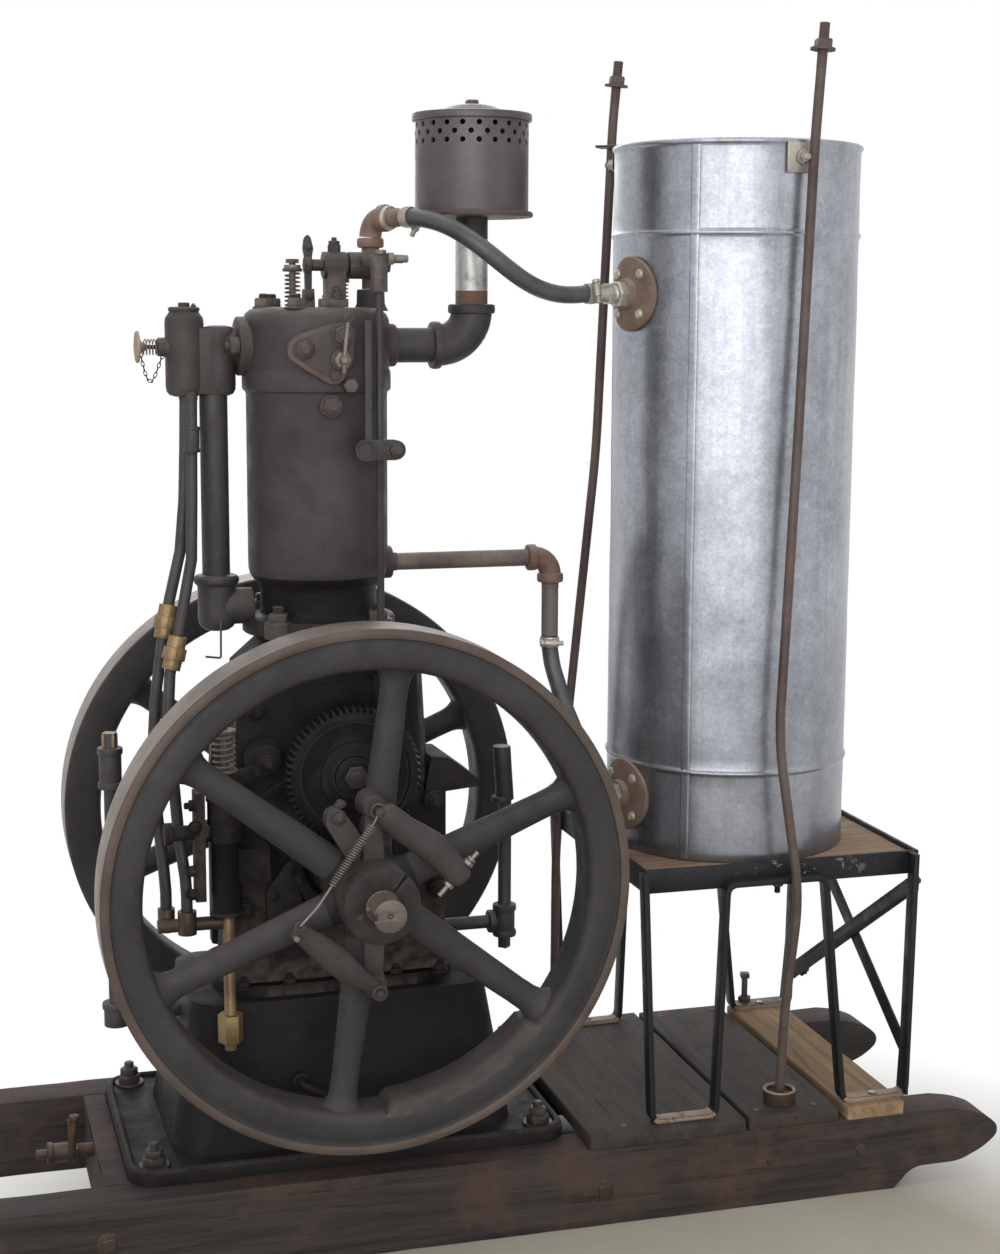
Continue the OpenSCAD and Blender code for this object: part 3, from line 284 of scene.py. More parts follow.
M["galv_pipe"] = iron("galvanised_pipe", (158, 157, 154), (222, 220, 216), patch=(112, 108, 102),
    patch_at=(0.56, 0.70), rough=(0.32, 0.46), metallic=0.5, depth=0.00012)
M["rod"] = iron("rusty_rod", (66, 54, 52), (104, 89, 84), patch=(104, 80, 70), patch_at=(0.54, 0.70),
    patch_scale=24, depth=0.0002, specular=0.35)
M["stand"] = iron("chipped_black", (11, 11, 15), (24, 23, 29), patch=(134, 122, 110),
    patch_at=(0.71, 0.735), dust=(36, 34, 37), patch_scale=42, depth=0.00015, specular=0.3)
M["hub"] = iron("hub_iron", (26, 25, 26), (44, 41, 42), patch=(58, 48, 44), patch_at=(0.62, 0.8),
    dust=(60, 56, 55), wear=(84, 78, 74), specular=0.2)
M["foot"] = iron("worn_foot_plate", (118, 98, 80), (168, 148, 126), patch=(64, 55, 50),
    patch_at=(0.56, 0.66), patch_scale=40, depth=0.0002)
M["rail"] = wood("rail_timber", (34, 30, 30), (73, 64, 61), (3, 60, 60), worn=(80, 62, 55))
M["plank"] = wood("weathered_plank", (37, 33, 32), (75, 69, 64), (46, 3, 46), worn=(70, 60, 54),
    depth=0.0018)
M["strip"] = wood("fresh_plank", (108, 84, 63), (188, 158, 122), (54, 3, 54), worn=(136, 114, 94),
    depth=0.001)
M["board"] = wood("tray_board_wood", (106, 80, 62), (172, 148, 124), (4, 50, 50), worn=(150, 128, 108),
    depth=0.0008)
M["gear"] = iron("gear_iron", (20, 19, 21), (36, 34, 36), patch=(44, 38, 36), patch_at=(0.62, 0.76),
    wear=(72, 68, 65), specular=0.12)
M["bolt"] = iron("bolt_steel", (28, 26, 26), (56, 51, 50), patch=(82, 62, 50), patch_at=(0.60, 0.74),
    wear=(104, 95, 89), rough=(0.35, 0.55), depth=0.0001, specular=0.35)
M["rust_low"] = iron("dark_rust", (48, 38, 34), (82, 67, 58), patch=(96, 66, 48), patch_at=(0.52, 0.72),
    dust=(104, 92, 82), patch_scale=30, specular=0.25)
M["worn_pipe"] = iron("worn_pipe", (82, 74, 72), (128, 118, 111), patch=(124, 94, 74),
    patch_at=(0.54, 0.72), dust=(142, 131, 122), patch_scale=24, depth=0.0002, specular=0.35)


def rubber():
    m = Mat("hose_rubber")
    c = m.mix(m.ramp(m.noise(26, 6), [(0.35, 0.0), (0.7, 1.0)]), srgb(50, 50, 54), srgb(84, 84, 88))
    # painted highlight: the hose's upward side is painted lighter, as if lit by the overhead light
    c = m.mix(m.mix(1.0, m.up_facing(0.35, 1.0), 0.5, "MULTIPLY"), c, srgb(124, 122, 122))
    m.bump(m.noise(300, 4), 0.0002)
    return m.done(c, (m.noise(40), 0.36, 0.52), 0.0, 0.55)


def tank_zinc():
    """Galvanised sheet: crystal cells under cloudy, faintly streaked zinc, with painted shade low down."""
    m = Mat("tank_galvanised")
    cell = m.cells(110)
    cloud = m.noise(7, 8, 0.65)
    c = m.mix(m.ramp(cloud, [(0.34, 0.0), (0.66, 1.0)]), srgb(132, 135, 142), srgb(164, 167, 175))
    c = m.mix(0.22, c, m.ramp(m.noise(260, 4, 0.7), [(0.3, 0.2), (0.7, 1.0)]), "OVERLAY")
    c = m.mix(0.16, c, m.ramp(cell, [(0.0, 0.3), (1.0, 1.0)]), "OVERLAY")
    drip = m.noise(1.0, 8, 0.7, stretch=(40, 40, 1.6))
    c = m.mix(m.ramp(drip, [(0.50, 0.0), (0.75, 0.5)]), c, srgb(112, 115, 112))
    c = m.mix(m.ramp(m.noise(90, 4, 0.8), [(0.68, 0.0), (0.74, 0.7)]), c, srgb(214, 216, 218))
    c = m.mix(m.ramp(m.noise(120, 5, 0.8), [(0.30, 0.6), (0.36, 0.0)]), c, srgb(84, 84, 86))
    # painted shade and painted reflection of the dark parts below: darker towards the tank's foot
    c = m.mix(m.ramp(m.along(), [(0.45, 0.55), (0.72, 0.0)]), c, srgb(92, 92, 94))
    m.bump(m.noise(4.5, 3, 0.5), 0.003).bump(m.noise(160, 4), 0.00015)
    return m.done(c, (cloud, 0.27, 0.36), 0.8, 0.5)


def tray_paint():
    """Black paint, chipped to pale primer along the middle of the tray's edge."""
    m = Mat("tray_black")
    c = m.mix(m.ramp(m.noise(9, 8), [(0.35, 0.0), (0.65, 1.0)]), srgb(11, 11, 15), srgb(25, 24, 30))
    middle = m.mix(1.0, m.ramp(m.along("X"), [(0.36, 0.0), (0.42, 1.0)]),
        m.ramp(m.along("X"), [(0.50, 1.0), (0.58, 0.0)]), "MULTIPLY")
    chips = m.ramp(m.noise(52, 9, 0.7, distort=0.5), [(0.575, 0.0), (0.60, 1.0)])
    c = m.mix(m.mix(1.0, middle, chips, "MULTIPLY"), c, srgb(150, 148, 142))
    c = m.mix(m.ramp(m.noise(38, 9, 0.7), [(0.70, 0.0), (0.73, 0.8)]), c, srgb(126, 114, 102))
    m.bump(chips, 0.0002).bump(m.noise(300, 3), 0.0001)
    return m.done(c, (m.noise(30, 5), 0.4, 0.62), 0.0, 0.3)


M["hose"] = rubber()
M["tray"] = tray_paint()
M["tank"] = tank_zinc()


# ---------------------------------------------------------------- mesh tools
def frame_of(axis):
    """Two directions square to an axis."""
    a = Vector(axis).normalized()
    u = a.cross(Z if abs(a.z) < 0.9 else X).normalized()
    return a, u, a.cross(u)


def vert(bm, p):
    """A new point, from millimetres from the crankshaft."""
    return bm.verts.new(world(p))


def around(n):
    """The angles of n points round a circle."""
    return [2 * pi * k / n for k in range(n)]


def heading(deg):
    """The level direction at an angle from X."""
    return Vector((cos(radians(deg)), sin(radians(deg)), 0))


def skin(bm, rows, mat=0, wrap=True, cap=False):
    """Faces between rows of points. wrap joins the ends of each row, cap closes the first and last row."""
    for p, q in zip(rows, rows[1:]):
        for k in range(len(p) if wrap else len(p) - 1):
            j = (k + 1) % len(p)
            bm.faces.new([p[k], p[j], q[j], q[k]]).material_index = mat
    for end in (rows[0][::-1], rows[-1]) if cap else ():
        bm.faces.new(end).material_index = mat


def circles(bm, rings, at, axis, n, phase=0.0):
    """Points round an axis for each (radius, distance along it). A radius of 0 gives one point."""
    a, u, v = frame_of(axis)
    rows = []
    for r, h in rings:
        centre = Vector(at) + a * h
        turns = [phase + t for t in around(n)] if r > 0 else []
        rows.append([vert(bm, centre + (u * cos(t) + v * sin(t)) * r) for t in turns]
            or [vert(bm, centre)])
    return rows


def lathe(bm, rings, at=(0, 0, 0), axis=Z, n=48, mat=0, phase=0.0):
    """Turns (radius, distance along the axis) rings round an axis. A radius of 0 closes the end."""
    rows = circles(bm, rings, at, axis, n, phase)
    for p, q in zip(rows, rows[1:]):
        for k in range(n):
            j = (k + 1) % n
            f = [p[k % len(p)], p[j % len(p)], q[j % len(q)], q[k % len(q)]]
            f = [w for i, w in enumerate(f) if w not in f[:i]]
            if len(f) > 2:
                bm.faces.new(f).material_index = mat


def turned(bm, rings, at=(0, 0, 0), axis=Z, n=48, mat=0, phase=0.0):
    """A lathe piece whose two ends are closed flat."""
    lathe(bm, [(0, rings[0][1])] + rings + [(0, rings[-1][1])], at, axis, n, mat, phase)


def ring(bm, profile, at=(0, 0, 0), axis=Z, n=96, mat=0, mats=None):
    """Turns a closed (radius, distance) outline into a ring."""
    rows = circles(bm, profile, at, axis, n)
    for i, row in enumerate(rows):
        skin(bm, [row, rows[(i + 1) % len(rows)]], mats[i] if mats else mat)


def tube(bm, pts, r, n=16, mat=0, squash=(1, 1), flat=None, cap=True):
    """Sweeps a round or oval section along points. r is one radius, or one for each point."""
    pts = [Vector(p) for p in pts]
    rs = r if isinstance(r, (list, tuple)) else [r] * len(pts)
    tans = [(pts[min(i + 1, len(pts) - 1)] - pts[max(i - 1, 0)]).normalized() for i in range(len(pts))]
    u = Vector(flat) if flat else frame_of(tans[0])[1]
    rows = []
    for p, t, rad in zip(pts, tans, rs):
        u = (u - t * u.dot(t)).normalized()
        v = t.cross(u)
        wide, thick = u * rad * squash[0], v * rad * squash[1]
        rows.append([vert(bm, p + wide * cos(k) + thick * sin(k)) for k in around(n)])
    skin(bm, rows, mat, cap=cap)


def elbow(bm, at, first, second, bend, r, n=28, steps=10, flat=None):
    """A quarter bend that starts at a point along one direction and ends along another."""
    turn = [pi / 2 * k / steps for k in range(steps + 1)]
    tube(bm, [Vector(at) + first * (bend * sin(t)) + second * (bend - bend * cos(t)) for t in turn], r,
        n, flat=flat)


def smooth_path(pts, per=6):
    """A Catmull-Rom curve through points."""
    pts = [Vector(p) for p in pts]
    ends = [pts[0] * 2 - pts[1]] + pts + [pts[-1] * 2 - pts[-2]]
    out = []
    for i in range(1, len(ends) - 2):
        a, b, c, d = ends[i - 1 : i + 3]
        for k in range(per):
            t = k / per
            out.append(0.5 * (2 * b + (c - a) * t + (2 * a - 5 * b + 4 * c - d) * t * t
                + (3 * b - a - 3 * c + d) * t**3))
    return out + [pts[-1]]


def slab(bm, lo, hi):
    """A box from corner to corner."""
    v = [vert(bm, (x, y, z)) for x in (lo[0], hi[0]) for y in (lo[1], hi[1]) for z in (lo[2], hi[2])]
    for f in ((0, 1, 3, 2), (4, 6, 7, 5), (0, 4, 5, 1), (2, 3, 7, 6), (0, 2, 6, 4), (1, 5, 7, 3)):
        bm.faces.new([v[i] for i in f])


def nut(bm, at, axis, r, h, n=6, mat=0, phase=0.0):
    """A hexagon or square nut with a turned chamfer."""
    turned(bm, [(r * 0.97, 0), (r, h * 0.06), (r, h * 0.82), (r * 0.88, h)], at, axis, n, mat, phase)


def bolt(bm, at, axis, r, h, stud=0.5, out=6, washer=True, n=6, mat=0, phase=0.0):
    """A nut on a washer, with a threaded stud end."""
    a = Vector(axis).normalized()
    at = Vector(at)
    w = 2.2 if washer else 0
    if washer:
        turned(bm, [(r * 1.22, 0), (r * 1.22, w * 0.7), (r * 1.15, w)], at, axis, 28, mat)
    nut(bm, at + a * w, axis, r, h, n, mat, phase)
    rt = r * stud
    rings, z = [(rt, 0)], 0.0
    while z < out:
        rings += [(rt, z + 0.5), (rt * 0.86, z + 1.0)]
        z += 1.2
    lathe(bm, rings + [(rt * 0.7, z + 0.6), (0, z + 0.8)], at + a * (w + h - 0.2), axis, 14, mat)


def coil(bm, at, axis, r, length, turns, wire, n=8, mat=0, per=16):
    """A spring of round wire."""
    a, u, v = frame_of(axis)
    at = Vector(at)
    tube(bm, [at + a * (length * i / (turns * per))
        + (u * cos(2 * pi * i / per) + v * sin(2 * pi * i / per)) * r
        for i in range(int(turns * per) + 1)], wire, n, mat)


def piece(name, bm, body, mats, cad=(), bevel=0.0, segs=2, sharp=32, limit=28):
    """Makes the object, rounds its sharp edges and hangs it on its body."""
    bmesh.ops.recalc_face_normals(bm, faces=bm.faces)
    if bevel:
        es = [e for e in bm.edges if len(e.link_faces) == 2 and e.calc_face_angle(0) > radians(limit)]
        bmesh.ops.bevel(bm, geom=es, offset=bevel * MM, segments=segs, profile=0.5, affect="EDGES",
            clamp_overlap=True)
    me = bpy.data.meshes.new(name)
    bm.to_mesh(me)
    bm.free()
    for p in me.polygons:
        p.use_smooth = True
    me.set_sharp_from_angle(angle=radians(sharp))
    ob = bpy.data.objects.new(name, me)
    scene.collection.objects.link(ob)
    for m in mats if isinstance(mats, (list, tuple)) else [mats]:
        me.materials.append(M[m])
    if body:
        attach(ob, body)
    if cad:
        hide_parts(*cad)
    return ob


def cad_copy(node):
    """A copy of a CAD node's mesh with its points joined."""
    bm = bmesh.new()
    bm.from_mesh(NODES[node].data)
    bmesh.ops.remove_doubles(bm, verts=bm.verts, dist=1e-5)
    return bm


def merge_flat(bm, **keep):
    """Merges the triangles of each flat face."""
    bmesh.ops.dissolve_limit(bm, angle_limit=radians(0.6), verts=bm.verts, edges=bm.edges, **keep)


def dress(node, mat, body="frame", bevel=1.0, segs=2, pick=None, sharp=32, limit=28,
        name=None, shift=None):
    """A copy of a CAD node with rounded edges, which stands for it. pick gives a face its material
    from its middle, shift gives a corner a small correction from its place."""
    bm = cad_copy(node)
    merge_flat(bm, delimit={"NORMAL"})
    for f in bm.faces:
        c = f.calc_center_median() / MM - CRANK
        f.material_index = pick(c, f.normal) if pick else 0
    for v in bm.verts if shift else ():
        v.co += Vector(shift(v.co / MM - CRANK)) * MM
    return piece(name or node + "_look", bm, body, mat, [node], bevel, segs, sharp, limit)


# ---------------------------------------------------------------- hoses
HOSE_D = 21.0
UPPER = [(97.2, -19.7, 762), (103, -30, 762), (114.5, -47.5, 759.5), (128, -63.5, 755),
    (142.5, -76.5, 747.5), (158, -86.5, 737), (174, -92.5, 725), (190.5, -95, 712.5), (207.5, -94, 700),
    (225, -90, 689), (243, -83.5, 680.5), (261.5, -75, 675), (280, -66, 672), (299.5, -58, 671.5),
    (319.5, -51.5, 673), (331, -48.7, 673)]
LOWER = [(291, 0, 244.7), (291, 0, 232.8), (292.2, -1.6, 219.4), (293.6, -4.8, 206.8),
    (295.6, -9.6, 195), (297.8, -14.8, 184), (299.6, -20.2, 173), (301.8, -25.8, 162.2),
    (304.4, -31.4, 151.4), (307.8, -37, 140.6), (311.2, -42.2, 129.6), (314.4, -46.8, 118),
    (316.8, -50.2, 105.2), (318, -51.8, 92), (318.1, -51.8, 80)]


def hose(name, route):
    """A rubber hose along a route."""
    bm = bmesh.new()
    line = smooth_path(route, 5)
    tube(bm, line, HOSE_D / 2, 28)
    ob = piece(name + "_rubber", bm, "frame", "hose", [name], 0, sharp=50)


hose("upper_hose", UPPER)
hose("lower_hose", LOWER)

# ---------------------------------------------------------------- shared fittings
def corner(a, b, c, r, n):
    """Points round the corner at b, between a and c."""
    u, v = a - b, c - b
    k = min(r, u.length * 0.45, v.length * 0.45)
    p, q = b + u.normalized() * k, b + v.normalized() * k
    return [p * (1 - t) ** 2 + b * 2 * t * (1 - t) + q * t * t for t in (i / n for i in range(n + 1))]


def rounded(pts, r, n=5):
    """The same route with its corners rounded to radius r."""
    pts = [Vector(p) for p in pts]
    out = pts[:1]
    for a, b, c in zip(pts, pts[1:], pts[2:]):
        out += corner(a, b, c, r, n)
    return out + pts[-1:]


def prism(bm, outline, y0, y1, mat=0):
    """Extrudes an outline of (x, z) points from y0 to y1."""
    skin(bm, [[vert(bm, (x, y, z)) for x, z in outline] for y in (y0, y1)], mat, cap=True)


def round_outline(pts, r, n=4):
    """A closed outline of two coordinates with its corners rounded."""
    pts = [Vector((*p, 0)) for p in pts]
    corners = zip(pts[-1:] + pts, pts, pts[1:] + pts[:1])
    return [tuple(p[:2]) for a, b, c in corners for p in corner(a, b, c, r, n)]


def weather(bm, longest, amount, scale=18.0, seed=0.0):
    """Cuts long edges and moves the points a little, so that no timber or casting is dead straight."""
    for _ in range(7):
        es = [e for e in bm.edges if e.calc_length() > longest * MM]
        if not es:
            break
        bmesh.ops.subdivide_edges(bm, edges=es, cuts=1, use_grid_fill=True)
    bm.normal_update()
    for v in bm.verts:
        v.co += v.normal * noise.noise(v.co * scale + Vector((seed, 0, 0))) * amount * MM


def bead(bm, at, axis, r, w, mat=0, n=40):
    """A rounded band on the end of a malleable fitting."""
    turned(bm, [(r * 0.86, -w / 2), (r * 0.97, -w * 0.42), (r, -w * 0.2), (r, w * 0.2),
        (r * 0.97, w * 0.42), (r * 0.86, w / 2)], at, axis, n, mat)


def thread(bm, at, axis, r, length, mat=0, pitch=1.8, n=24):
    """A threaded length of rod or pipe, as a row of ridges."""
    rings, z = [(0, 0), (r * 0.93, 0)], 0.0
    while z < length - pitch:
        rings += [(r, z + pitch * 0.4), (r * 0.93, z + pitch)]
        z += pitch
    lathe(bm, rings + [(r * 0.9, length), (0, length)], at, axis, n, mat)


# ---------------------------------------------------------------- flywheels
RIM_OUT, RIM_IN, RIM_BACK, RIM_FACE = 304.8, 256.8, 208.0, 273.0
HUB_R, HUB_BACK, HUB_FACE, SHAFT_R, SPOKE_PLANE = 44.0, 181.0, 313.0, 19.0, 240.5
SPOKE_TURN = [radians(22.5 + 60 * k) for k in range(6)]


HUB_SLOT, HUB_GAP, HUB_DARK_R = radians(51.5), 0.055, 62
LAND_ENDS, LAND_STEPS = (radians(272.5), radians(319.5)), 36


def sector(bm, out, start, stop, steps, outline):
    """Sweeps the (radius, distance) outline of each step round the shaft, from start to stop."""
    rows = []
    for k in range(steps + 1):
        t = start + (stop - start) * k / steps
        d = Vector((cos(t), 0, sin(t)))
        rows.append([vert(bm, d * r + out * h) for r, h in outline(k)])
    skin(bm, rows, cap=True)


def flywheel(node, s):
    """A six-spoked wheel on the near (-1) or far (1) side."""
    bm = bmesh.new()
    out = Vector((0, s, 0))
    front = [(RIM_OUT, RIM_FACE - 3), (RIM_OUT - 0.8, RIM_FACE - 1), (RIM_OUT - 2.4, RIM_FACE),
        (RIM_OUT - 9.5, RIM_FACE), (RIM_OUT - 11, RIM_FACE - 1), (RIM_OUT - 12, RIM_FACE - 3.6),
        (RIM_OUT - 15, RIM_FACE - 4.4), (RIM_OUT - 18, RIM_FACE - 3.2), (RIM_OUT - 24, RIM_FACE - 2.6),
        (RIM_IN + 13, RIM_FACE - 2.6), (RIM_IN + 7, RIM_FACE - 4), (RIM_IN + 2.6, RIM_FACE - 7.6),
        (RIM_IN + 0.4, RIM_FACE - 13), (RIM_IN, RIM_FACE - 20)]
    back = [(RIM_IN, RIM_BACK + 16), (RIM_IN + 0.6, RIM_BACK + 8), (RIM_IN + 3.4, RIM_BACK + 3),
        (RIM_IN + 9, RIM_BACK + 0.4), (RIM_OUT - 14, RIM_BACK), (RIM_OUT - 2, RIM_BACK),
        (RIM_OUT, RIM_BACK + 2.4)]
    # lip, face and tread each have their own finish
    kinds = [2] * 4 + [0] * 16 + [1]
    ring(bm, front + back, axis=out, n=180, mats=kinds)
    for t in SPOKE_TURN:
        d = Vector((cos(t), 0, sin(t)))
        stops = [(30, 24), (42, 23), (47, 21), (54, 19.9), (70, 19.4), (110, 18.6), (170, 17.2),
            (220, 16.2), (238, 16.6), (246, 18.2), (252, 21.2), (257, 25.6), (262, 30)]
        tube(bm, [d * r + out * SPOKE_PLANE for r, _ in stops], [w for _, w in stops], 30, 0,
            (0.76, 1), flat=Y)
    # hub: whole at the back, slotted at the front
    lathe(bm, [(SHAFT_R, HUB_BACK), (HUB_R - 2, HUB_BACK), (HUB_R, HUB_BACK + 2), (HUB_R, 272),
        (SHAFT_R, 272)], axis=out, n=72)
    prof = [(SHAFT_R + 0.3, 271), (HUB_R, 271), (HUB_R, HUB_FACE - 2.6), (HUB_R - 0.7, HUB_FACE - 0.9),
        (HUB_R - 2.4, HUB_FACE), (SHAFT_R + 3, HUB_FACE), (SHAFT_R + 0.3, HUB_FACE - 1.5)]
    sector(bm, out, HUB_SLOT + HUB_GAP, HUB_SLOT + 2 * pi - HUB_GAP, 72, lambda k: prof)
    # counterweight land inside the rim, between two spokes
    land = [(RIM_IN + 6, 214), (RIM_IN - 8, 217), (RIM_IN - 11, 222), (RIM_IN - 11, 258),
        (RIM_IN - 8.5, 264.5), (RIM_IN - 2, 268.4), (RIM_IN + 8, 270.2), (RIM_IN + 10, 262)]

    def eased(k):
        ease = min(1.0, min(k, LAND_STEPS - k) / 1.5)
        return [(RIM_IN + 6 + (r - RIM_IN - 6) * ease, h) for r, h in land]

    sector(bm, out, *LAND_ENDS, LAND_STEPS, eased)
    # set screw beside the shaft
    nut(bm, (-27, s * (HUB_FACE - 1), -8), out, 5.2, 6, 4, phase=0.4)
    for f in bm.faces:
        c = f.calc_center_median() - world((0, 0, 0))
        if hypot(c.x, c.z) < HUB_DARK_R * MM and f.material_index == 0:
            f.material_index = 3
    piece(node + "_casting", bm, "crank", ["wheel", "tread", "lip", "hub"], [node],
        sharp=38)


flywheel("near_flywheel", -1)
flywheel("far_flywheel", 1)

# ---------------------------------------------------------------- governor on the near wheel
GOV_Y = -289.0
bm = bmesh.new()
for q in (-1, 1):
    turned(bm, [(15, 0), (17, 8), (14.5, 20), (13.6, 34), (12, 38.6)], (0, -239, q * 104), -Y, 32)
    lathe(bm, [(0, 0), (4.4, 0), (4.4, 25), (3.6, 26.4), (0, 26.8)], (0, -277, q * 104), -Y, 20)
    prism(bm, round_outline([(-12, q * 38), (12, q * 38), (9, q * 100), (-9, q * 100)], 3), -270, -254)
# latch lug with its bolt, at the upper left of the hub
prism(bm, round_outline([(-16, 38), (-30, 44), (-53, 84), (-51, 97), (-38, 103), (-28, 92), (-8, 62)],
    5), -262, -240)
bolt(bm, (-39, -262, 92), -Y, 7.4, 6, 0.55, 4)
bolt(bm, (-33, -250, 101), Vector((-0.35, 0, 0.94)), 7, 6, 0.5, 2, False)
piece("governor_lugs", bm, "crank", "iron", bevel=0.9)


def horn(bm, spine, squash):
    """A weight's curved body, through points of (x, z, half width)."""
    widths = [a + (b - a) * k / 3 for (_, _, a), (_, _, b) in zip(spine, spine[1:]) for k in range(3)]
    line = smooth_path([(x, GOV_Y, z) for x, z, _ in spine], 3)
    tube(bm, line, widths + [spine[-1][2]], 28, 0, (squash, 1), flat=Y)


def wire_ring(bm, at, r, wire, around_wire, n=32, mat=0):
    """A ring of round wire that faces the viewer."""
    ring(bm, [(r + wire * cos(t), wire * sin(t)) for t in around(around_wire)], at, Y, n, mat)


bm = bmesh.new()
spine = [(1, 105, 7), (5, 101.6, 12), (10, 98, 14.6), (18, 91, 15.2), (32, 79.5, 15.6), (48, 68.5, 16.8),
    (62, 58, 17.8), (72, 48.5, 17.4), (82, 37.5, 15.8), (90, 27.8, 15), (95.5, 21, 13.6), (99, 16.6, 10)]
horn(bm, spine, 0.62)
wire_ring(bm, (0, GOV_Y - 2, 104), 7.4, 2.2, 8)
rod_a, rod_b = Vector((70, GOV_Y, 1)), Vector((115.5, GOV_Y, 48.5))
d = (rod_b - rod_a).normalized()
thread(bm, rod_a, d, 2.9, (rod_b - rod_a).length, 1, 1.6, 16)
nut(bm, rod_a + d * 47, d, 6.6, 5, 6, 1)
nut(bm, rod_a + d * 53, d, 5.8, 3.4, 6, 1)
nut(bm, rod_a + d * 14, d, 6.4, 5, 6, 1)
piece("governor_weight_a_casting", bm, "governor_a", ["iron", "bright"], ["governor_weight_a"],
    bevel=0.5, limit=50)

bm = bmesh.new()
spine = [(-96, -23.5, 5), (-94, -25, 9), (-88.5, -29.5, 10.6), (-80, -36.5, 12), (-66, -48, 14.4),
    (-53.6, -58.8, 15.9), (-43, -69, 16.2), (-32.2, -79.5, 14.8), (-20, -89, 11.4), (-11, -96, 9),
    (-4, -101, 8.6)]
horn(bm, spine, 0.64)
ring(bm, [(4.7, -10.6), (8.4, -10.6), (9.2, -9.6), (9.2, 9.6), (8.4, 10.6), (4.7, 10.6)],
    (0, GOV_Y, -104), Y, 32)
turned(bm, [(3.6, 0), (3.6, 21), (2.8, 22)], (-94, GOV_Y - 11, -33), Y, 16, 1)
wire_ring(bm, (-90, GOV_Y - 8, -19), 4.4, 1.5, 8, 24)
piece("governor_weight_b_casting", bm, "governor_b", ["iron", "bright"], ["governor_weight_b"],
    bevel=0.5, limit=50)

bm = bmesh.new()
s0, s1, s2 = Vector((-4.5, GOV_Y - 9, 95)), Vector((-55, GOV_Y - 9, 23)), Vector((-90, GOV_Y - 9, -19))
d = (s1 - s0).normalized()
coil(bm, s0 + d * 6, d, 4.1, (s1 - s0).length - 8, 26, 0.95, 6, 0, 12)
tube(bm, [s0 - d * 4 + Z * 3, s0, s0 + d * 7], 1.1, 8)
tube(bm, rounded([s1 - d * 3, s1 + d * 4, (s1 + s2) / 2 + Vector((2, 0, -1)), s2], 6), 1.5, 10)
spring = piece("governor_spring", bm, None, "bright")
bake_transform(spring)

# ---------------------------------------------------------------- crankshaft and timing gear
dress("crankshaft", "shaft", "crank", 0.6, limit=40)
dress("cam_gear", "gear", "cam_gear", 0.35)
bm = bmesh.new()
GEAR_Z = 117.0
for r0, r1, h in ((62, 66, 1.2), (28, 38, 3.4), (24.3, 27, 6)):
    ring(bm, [(r0, 0), (r1, 0), (r1, h - 0.8), (r1 - 0.8, h), (r0 + 0.8, h), (r0, h - 0.8)],
        (0, -169, GEAR_Z), -Y, 72)
piece("timing_gear_steps", bm, "cam_gear", "gear")
bm = bmesh.new()
nut(bm, (0, -178.6, GEAR_Z), -Y, 14.6, 5, 6)
lathe(bm, [(0, 0), (8, 0), (8, 1.6), (6.6, 2.8), (0, 3)], (0, -183, GEAR_Z), -Y, 24)
piece("timing_stud_nut", bm, "frame", "iron", bevel=0.6)

# ---------------------------------------------------------------- cylinder, head and their bosses
CYL_X, CYL_FOOT, NECK_TOP, TOP_Z, PORT_Z = -7.0, 264.2, 334.0, 655.0, 606.0
STUD_TOP = 284.8
bm = bmesh.new()
turned(bm, [(91, CYL_FOOT), (93, 266), (93, 281), (91, 284), (76, 285.4), (72.4, 288), (71, 292),
    (71, 316), (72, 320), (75, 325), (79.5, 329.6), (83, 335), (84.6, 341), (85, 348), (85, 552),
    (86, 555.4), (88.6, 557), (89.6, 560), (89.6, 576), (89, 580), (87.6, 582.4), (87.6, 584),
    (88.4, 586), (88.4, 634), (87.6, 641), (84.6, 647.4), (79.6, 651.8), (72, 654.4), (62, TOP_Z)],
    (CYL_X, 0, 0), Z, 96)
# painted shadow: the neck under the barrel's overhang is painted in the darker iron
for f in bm.faces:
    if f.calc_center_median().z < (NECK_TOP + CRANK.z) * MM:
        f.material_index = 1
for k in range(4):
    t = radians(45 + 90 * k)
    c = Vector((CYL_X + 86 * cos(t), 86 * sin(t), 0))
    turned(bm, [(16, CYL_FOOT), (17, 265.4), (17, 283), (15.6, STUD_TOP)], c, Z, 36)
    bolt(bm, c + Z * 284.6, Z, 12.4, 10, 0.55, 8, False, phase=0.3 * k)
turned(bm, [(29, 0), (25, 5), (22.6, 14), (22, 37.5), (20.8, 38)], (CYL_X - 55.3, 0, PORT_Z), -X, 48)
turned(bm, [(34, 0), (29, 14), (26.6, 22), (25.8, 40), (24.6, 42)], (CYL_X + 55, 0, PORT_Z + 4), X, 48)
turned(bm, [(27, 0), (23, 16), (20.4, 25), (20, 34.6), (19, 36)], (CYL_X + 55, 0, 345), X, 40)
lathe(bm, [(0, 0), (30, 0), (27, 44), (25, 47.6), (0, 48)], (CYL_X + 2, -45, 603), -Y, 48)
turned(bm, [(22, -4), (19, 1), (17.4, 5), (17, 20), (16, 22)], (68, 33, TOP_Z), Z, 40)
prism(bm, round_outline([(-23, 652), (-9, 652), (-10, 677), (-22, 677)], 2), -8, 8)
for x, y in ((-70, 0), (-52, 48), (-42, -58), (20, 66)):
    bolt(bm, (x, y, 653.6), Z, 11, 10, 0.55, 4, phase=x)
turned(bm, [(13, 0), (11, 10), (8.6, 16), (8.6, 34), (7.8, 36)], (14, -61, 565), -Y, 28)
nut(bm, (14, -97, 565), -Y, 9, 6, 6)
turned(bm, [(20, 0), (16, 12), (13.4, 20), (13, 31), (12, 32)], (-8, -61, 541), -Y, 36)
bolt(bm, (-8, -93, 541), -Y, 11, 8, 0.6, 5, phase=0.2)
piece("cylinder_casting", bm, "frame", ["cylinder", "iron_low"], ["cylinder_body"],
    sharp=34)

